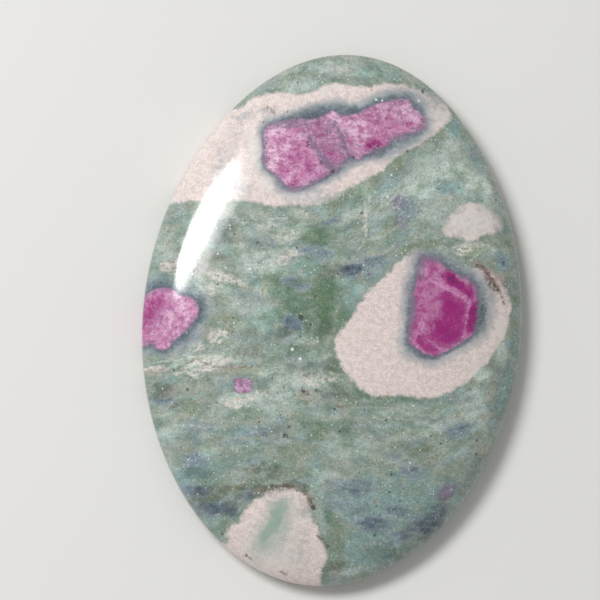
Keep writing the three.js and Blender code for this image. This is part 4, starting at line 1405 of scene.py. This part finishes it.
@dataclass
class Cabochon:
    """The stone's cut surface, with the same section and outline as the frame's solid, in millimetres.

    Attributes:
        length: along Y.
        width: along X.
        thickness: from the flat back to the top of the dome.
        girdle_top: where the wall turns into the dome.
        wall_foot: where the worn back edge turns into the wall.
        back_inset: how far the flat back stops inside the widest outline.
        wall_lean: how far the wall's foot stands inside its top.
        dome_across: the dome's power across, over 2 for a fuller shoulder.
        dome_up: the dome's power upwards.
        diagonal_cut: how far the outline is ground in between its ends and sides, as a share.
        threefold_cut: how much blunter one end is than the other, as a share.
        cells: cells across the dome's grid, a multiple of 4.
        bow_steps: steps down the wall, and again round the worn edge.
    """

    SECTION_STEPS = 4000  # points on the dome's curve before it is spaced evenly
    FRONT_MIDDLE, FRONT_REACH = (0.362, 0.5), (0.352, 0.485)  # the front's island in the unit square
    BACK_MIDDLE, BACK_REACH = (0.86, 0.5), (0.132, 0.183)  # and the back's

    length: float
    width: float
    thickness: float
    girdle_top: float = 1.9
    wall_foot: float = 0.75
    back_inset: float = 0.95
    wall_lean: float = 0.12
    dome_across: float = 2.15
    dome_up: float = 1.95
    diagonal_cut: float = 0.0128
    threefold_cut: float = 0.0054
    cells: int = 256
    bow_steps: int = 4

    def hand_cut(self, angle: Array) -> Array:
        """The outline's radius as a share of the ellipse's: 1 - d sin^2(2a) - t sin(3a)."""
        return 1.0 - self.diagonal_cut * np.sin(2 * angle) ** 2 - self.threefold_cut * np.sin(3 * angle)

    def centre_shift(self) -> float:
        """How far the outline moves down Y so that its box stands on the origin."""
        return self.threefold_cut * self.length / 2

    def place(self, share: Array, angle: Array) -> tuple[Array, Array]:
        """x and y of the points that lie a share of the way out at an angle, on the hand-cut oval."""
        reach = share * self.hand_cut(angle)
        x = reach * np.cos(angle) * self.width / 2
        return x, reach * np.sin(angle) * self.length / 2 - self.centre_shift()

    def dome_height(self, x: Array, y: Array) -> Array:
        """Height of the dome over each place: girdle + rise * (1 - share^across)^(1 / up)."""
        across = x / (self.width / 2)
        along = (y + self.centre_shift()) / (self.length / 2)
        share = np.clip(np.hypot(across, along) / self.hand_cut(np.arctan2(along, across)), 0.0, 1.0)
        rise = np.maximum(1 - share**self.dome_across, 0.0) ** (1 / self.dome_up)
        return self.girdle_top + (self.thickness - self.girdle_top) * rise

    def dome_section(self) -> Array:
        """The dome from its top to the girdle: rows of share, height and run along the curve, evenly spaced.

        The curve is share^across + rise^up = 1, followed by its turn from a right angle to 0.
        """
        turn = np.linspace(math.pi / 2, 0.0, self.SECTION_STEPS)
        share = np.cos(turn) ** (2 / self.dome_across)
        height = self.girdle_top + (self.thickness - self.girdle_top) * np.sin(turn) ** (2 / self.dome_up)
        share[0], height[-1] = 0.0, self.girdle_top
        run = self.runs(share, height)
        even = np.linspace(0.0, run[-1], self.cells // 2 + 1)
        return np.stack([np.interp(even, run, share), np.interp(even, run, height), even], axis=-1)

    def wall_section(self) -> Array:
        """The wall and the worn edge down to the flat back, as rows of share and height.

        Each is a curve of the second degree: (1 - t)^2 start + 2 t (1 - t) handle + t^2 end.
        """
        half = self.width / 2
        middle = (self.wall_foot + self.girdle_top) / 2
        line_at_back = self.wall_lean * middle / (middle - self.wall_foot)
        foot = (1 - self.wall_lean / half, self.wall_foot)
        back = (1 - self.back_inset / half, 0.0)
        share = np.linspace(0.0, 1.0, self.bow_steps + 1)[1:, None]
        bows = np.array((
            ((1.0, self.girdle_top), (1.0, middle), foot),
            (foot, (1 - line_at_back / half, 0.0), back),
        ))
        weights = ((1 - share) ** 2, 2 * share * (1 - share), share**2)
        return np.concatenate([sum(w * point for w, point in zip(weights, bow)) for bow in bows])

    def runs(self, share: Array, height: Array) -> Array:
        """Length along a section from its first point, at the stone's mean radius."""
        radius = (self.width + self.length) / 4
        return np.concatenate([[0.0], np.cumsum(np.hypot(np.diff(share) * radius, np.diff(height)))])

    @staticmethod
    def disc(cells: int) -> tuple[Array, Array, Array]:
        """A square grid bent to a disc: each square ring becomes a circle, with its points spread by angle.

        Args:
            cells: cells along the square's side.

        Returns:
            Each point's radius and angle, and the index grid.
        """
        u, v = np.meshgrid(np.linspace(-1, 1, cells + 1), np.linspace(-1, 1, cells + 1))
        sideways = np.abs(u) >= np.abs(v)
        main = np.where(sideways, u, v)
        ratio = np.divide(np.where(sideways, v, u), main, out=np.zeros_like(u), where=main != 0)
        angle = np.where(sideways, ratio, 2 - ratio) * math.pi / 4 + np.where(main < 0, math.pi, 0.0)
        return np.abs(main).ravel(), angle.ravel(), np.arange(u.size).reshape(u.shape)

    @staticmethod
    def border(grid: Array) -> Array:
        """The grid's outer points in order round it, from its first corner."""
        return np.concatenate([grid[0, :-1], grid[:-1, -1], grid[-1, :0:-1], grid[:0:-1, 0]])

    @staticmethod
    def cells_of(grid: Array) -> Array:
        """The grid's four-sided faces, facing up."""
        corners = (grid[:-1, :-1], grid[:-1, 1:], grid[1:, 1:], grid[1:, :-1])
        return np.stack(corners, axis=-1).reshape(-1, 4)

    def surface(self) -> tuple[Array, list[list[int]], int]:
        """The whole surface: a dome grid, wall rings, a closing ring and a flat back on a grid half as fine.

        Returns:
            Rows of share, height, run and angle for every point, the faces, and how many of them come before
            the flat back's.
        """
        radius, angle, dome = self.disc(self.cells)
        section = self.dome_section()
        steps = np.linspace(0.0, 1.0, len(section))
        top = np.stack([*(np.interp(radius, steps, column) for column in section.T), angle])

        rim = self.border(dome)
        wall = np.concatenate([[(1.0, self.girdle_top)], self.wall_section()])
        run = section[-1, 2] + self.runs(*wall.T)[1:]
        wall = wall[1:]
        shape = (len(wall) - 1, rim.size)
        rings = [np.broadcast_to(column[:-1, None], shape) for column in (*wall.T, run)]
        side = np.stack([*rings, np.broadcast_to(angle[rim], shape)]).reshape(4, -1)

        back_radius, back_angle, back = self.disc(self.cells // 2)
        flat = np.zeros_like(back_radius)
        under = np.stack([back_radius * wall[-1, 0], flat, flat + run[-1], back_angle])

        levels = np.concatenate([rim[None], dome.size + np.arange(side.shape[1]).reshape(-1, rim.size)])
        above, below = levels[:-1], levels[1:]
        corners = (above, below, np.roll(below, -1, axis=1), np.roll(above, -1, axis=1))
        walls = np.stack(corners, axis=-1).reshape(-1, 4)
        back = back + dome.size + side.shape[1]
        ring = self.closing_ring(levels[-1], self.border(back))
        front = self.cells_of(dome).tolist() + walls.tolist() + ring.tolist()
        faces = front + self.cells_of(back)[:, ::-1].tolist()
        return np.concatenate([top, side, under], axis=1), faces, len(front)

    def build(self, minerals: MineralMap, material: bpy.types.Material) -> bpy.types.Object:
        """Makes the stone's mesh and keeps the minerals on it as attributes.

        Args:
            minerals: gives the attributes.
            material: the rock.

        Returns:
            The stone, in metres, with its place in its mesh.
        """
        (share, height, run, turn), faces, front_faces = self.surface()
        x, y = self.place(share, turn)
        mesh = bpy.data.meshes.new(STONE_NODE)
        mesh.from_pydata((np.stack([x, y, height], axis=-1) * MM).tolist(), [], faces)
        mesh.shade_smooth()
        for name, values in minerals.fields(x, y, self.dome_height(x, y) - height).items():
            kind, key = ("FLOAT_VECTOR", "vector") if values.ndim == 2 else ("FLOAT", "value")
            mesh.attributes.new(name, kind, "POINT").data.foreach_set(key, values.astype(np.float32).ravel())
        front = np.stack([np.cos(turn), np.sin(turn)], axis=-1) * (run / run.max())[:, None]
        behind = np.stack([x / (self.width / 2), y / (self.length / 2)], axis=-1)
        self.unwrap(mesh, front, behind, front_faces)
        mesh.materials.append(material)
        stone = bpy.data.objects.new("polished_stone", mesh)
        bpy.context.scene.collection.objects.link(stone)
        return stone

    @staticmethod
    def closing_ring(outer: Array, inner: Array) -> Array:
        """Three-sided faces between a ring and the ring under it, which has half as many points."""
        first, middle, last = outer[0::2], outer[1::2], np.roll(outer[0::2], -1)
        following = np.roll(inner, -1)
        triples = ((first, inner, middle), (middle, inner, following), (middle, following, last))
        return np.concatenate([np.stack(corners, axis=-1) for corners in triples])

    def unwrap(self, mesh: bpy.types.Mesh, front: Array, behind: Array, front_faces: int) -> None:
        """Lays the dome and wall out as one island and the back as a smaller one beside it.

        Args:
            mesh: the stone's mesh.
            front: each vertex's place on the unrolled front, -1 to 1.
            behind: each vertex's place on the back, -1 to 1.
            front_faces: how many faces, counted from the first, are on the front island.
        """
        corner = np.empty(len(mesh.loops), np.int32)
        mesh.loops.foreach_get("vertex_index", corner)
        start = mesh.polygons[front_faces].loop_start
        layout = np.empty((corner.size, 2), np.float32)
        layout[:start] = np.array(self.FRONT_MIDDLE) + front[corner[:start]] * np.array(self.FRONT_REACH)
        layout[start:] = np.array(self.BACK_MIDDLE) + behind[corner[start:]] * np.array(self.BACK_REACH)
        mesh.uv_layers.new(name="OFBake").data.foreach_set("uv", layout.ravel())


# ---------------------------------------------------------------------------------------------
# The studio
# ---------------------------------------------------------------------------------------------


def toward(azimuth: float, zenith: float) -> Vector:
    """The direction at an azimuth from +X and an angle from straight up, both in degrees."""
    turn, tilt = math.radians(azimuth), math.radians(zenith)
    return Vector((math.sin(tilt) * math.cos(turn), math.sin(tilt) * math.sin(turn), math.cos(tilt)))


@dataclass(frozen=True)
class Panel:
    """A soft rectangular lamp that faces the stone."""

    name: str
    azimuth: float
    zenith: float
    distance: float
    across: float  # size along the azimuth, in metres
    up: float  # size along the zenith, in metres
    power: float
    turn: float = 0.0  # how far it turns on its own axis, in degrees
    shape: str = "RECTANGLE"

    def light(self, aim: Vector) -> None:
        """Hangs the lamp on its direction from the aim, its face square to it."""
        data = bpy.data.lights.new(self.name, "AREA")
        data.shape = self.shape
        data.size, data.size_y = self.across, self.up
        data.energy = self.power
        lamp = bpy.data.objects.new(self.name, data)
        away = toward(self.azimuth, self.zenith)
        side = toward(self.azimuth + 90.0, 90.0)
        axes = Matrix((side, away.cross(side), away)).transposed().to_4x4()
        turned = axes @ Matrix.Rotation(math.radians(self.turn), 4, "Z")
        lamp.matrix_world = Matrix.Translation(aim + away * self.distance) @ turned
        bpy.context.scene.collection.objects.link(lamp)


@dataclass
class Studio:
    """A pale floor, soft lamps, an even grey surround and the camera, in metres and degrees."""

    floor_side: float = 3.0
    floor_colour: Colour = paint(222, 221, 218)
    floor_roughness: float = 0.85
    floor_unevenness: float = 0.015  # how much duller its paint is in places, as a share
    floor_cell: Size = (0.2, 0.2, 0.2)
    surround: float = 0.41
    surround_colour: Colour = (1.0, 1.0, 1.0, 1.0)
    camera_tilt: float = 10.0
    camera_azimuth: float = 205.0
    camera_roll: float = 5.59
    camera_distance: float = 0.350
    sensor: float = 36.0  # in millimetres, as the lens is
    lens: float = 225.07
    nearest: float = 0.01  # from the camera, in metres
    aim: tuple[float, float, float] = (-0.003576, 0.001364, 0.003)
    panels: tuple[Panel, ...] = (
        Panel("key_lamp", 152.0, 38.5, 0.45, 0.21, 0.12, 1.5, -20.0, "ELLIPSE"),
        Panel("side_glow", 147.0, 28.3, 0.45, 0.14, 0.038, 0.135),
    )

    def build(self) -> None:
        """Sets up the floor, the light and the camera."""
        self.lay_floor()
        for panel in self.panels:
            panel.light(Vector(self.aim))
        world = bpy.data.worlds.new("surround")
        world.use_nodes = True
        background = world.node_tree.nodes["Background"]
        background.inputs["Strength"].default_value = self.surround
        background.inputs["Color"].default_value = self.surround_colour
        bpy.context.scene.world = world
        bpy.context.scene.view_settings.view_transform = "Standard"
        self.place_camera()

    def lay_floor(self) -> None:
        """A flat square floor under the stone, with a faint unevenness in its paint."""
        half = self.floor_side / 2
        mesh = bpy.data.meshes.new("studio_floor")
        corners = [(-half, -half, 0), (half, -half, 0), (half, half, 0), (-half, half, 0)]
        mesh.from_pydata(corners, [], [(0, 1, 2, 3)])
        material = bpy.data.materials.new("studio_floor")
        material.use_nodes = True
        sheet = Sheet(material.node_tree)
        shader = material.node_tree.nodes["Principled BSDF"]
        place = sheet.vector("DIVIDE", sheet.node("TexCoord").outputs["Object"], self.floor_cell)
        gain = sheet.spread(sheet.noise(place), 0.0, 1.0, 1.0 - self.floor_unevenness, 1.0)
        sheet.feed(shader.inputs["Base Color"], sheet.lit(self.floor_colour, gain))
        shader.inputs["Roughness"].default_value = self.floor_roughness
        mesh.materials.append(material)
        floor = bpy.data.objects.new("studio_floor", mesh)
        bpy.context.scene.collection.objects.link(floor)

    def place_camera(self) -> None:
        """Puts the camera on its direction from the aim and rolls it so that the stone leans a little."""
        away = toward(self.camera_azimuth, self.camera_tilt)
        up = toward(90.0 + self.camera_roll, 90.0)
        up = (up - away * up.dot(away)).normalized()
        data = bpy.data.cameras.new("camera")
        data.sensor_width = self.sensor
        data.lens = self.lens
        data.clip_start = self.nearest
        camera = bpy.data.objects.new("camera", data)
        axes = Matrix((up.cross(away), up, away)).transposed().to_4x4()
        camera.matrix_world = Matrix.Translation(Vector(self.aim) + away * self.camera_distance) @ axes
        bpy.context.scene.collection.objects.link(camera)
        bpy.context.scene.camera = camera


# ---------------------------------------------------------------------------------------------
# The whole scene
# ---------------------------------------------------------------------------------------------


def main() -> None:
    """Builds the studio and the stone, then notes the stone's vertex and face counts."""
    logging.basicConfig(level=logging.INFO, format="%(name)s: %(message)s")
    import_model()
    Studio().build()

    low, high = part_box(STONE_NODE)
    width, length, thickness = (side / MM for side in high - low)
    cabochon = Cabochon(length, width, thickness)
    stone = cabochon.build(MineralMap(), RockFinish().material(Effects()))
    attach(stone, BODY)
    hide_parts(STONE_NODE)
    log.info("%s: %d vertices, %d faces", stone.name, len(stone.data.vertices), len(stone.data.polygons))

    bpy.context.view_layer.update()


if __name__ == "__main__":
    main()
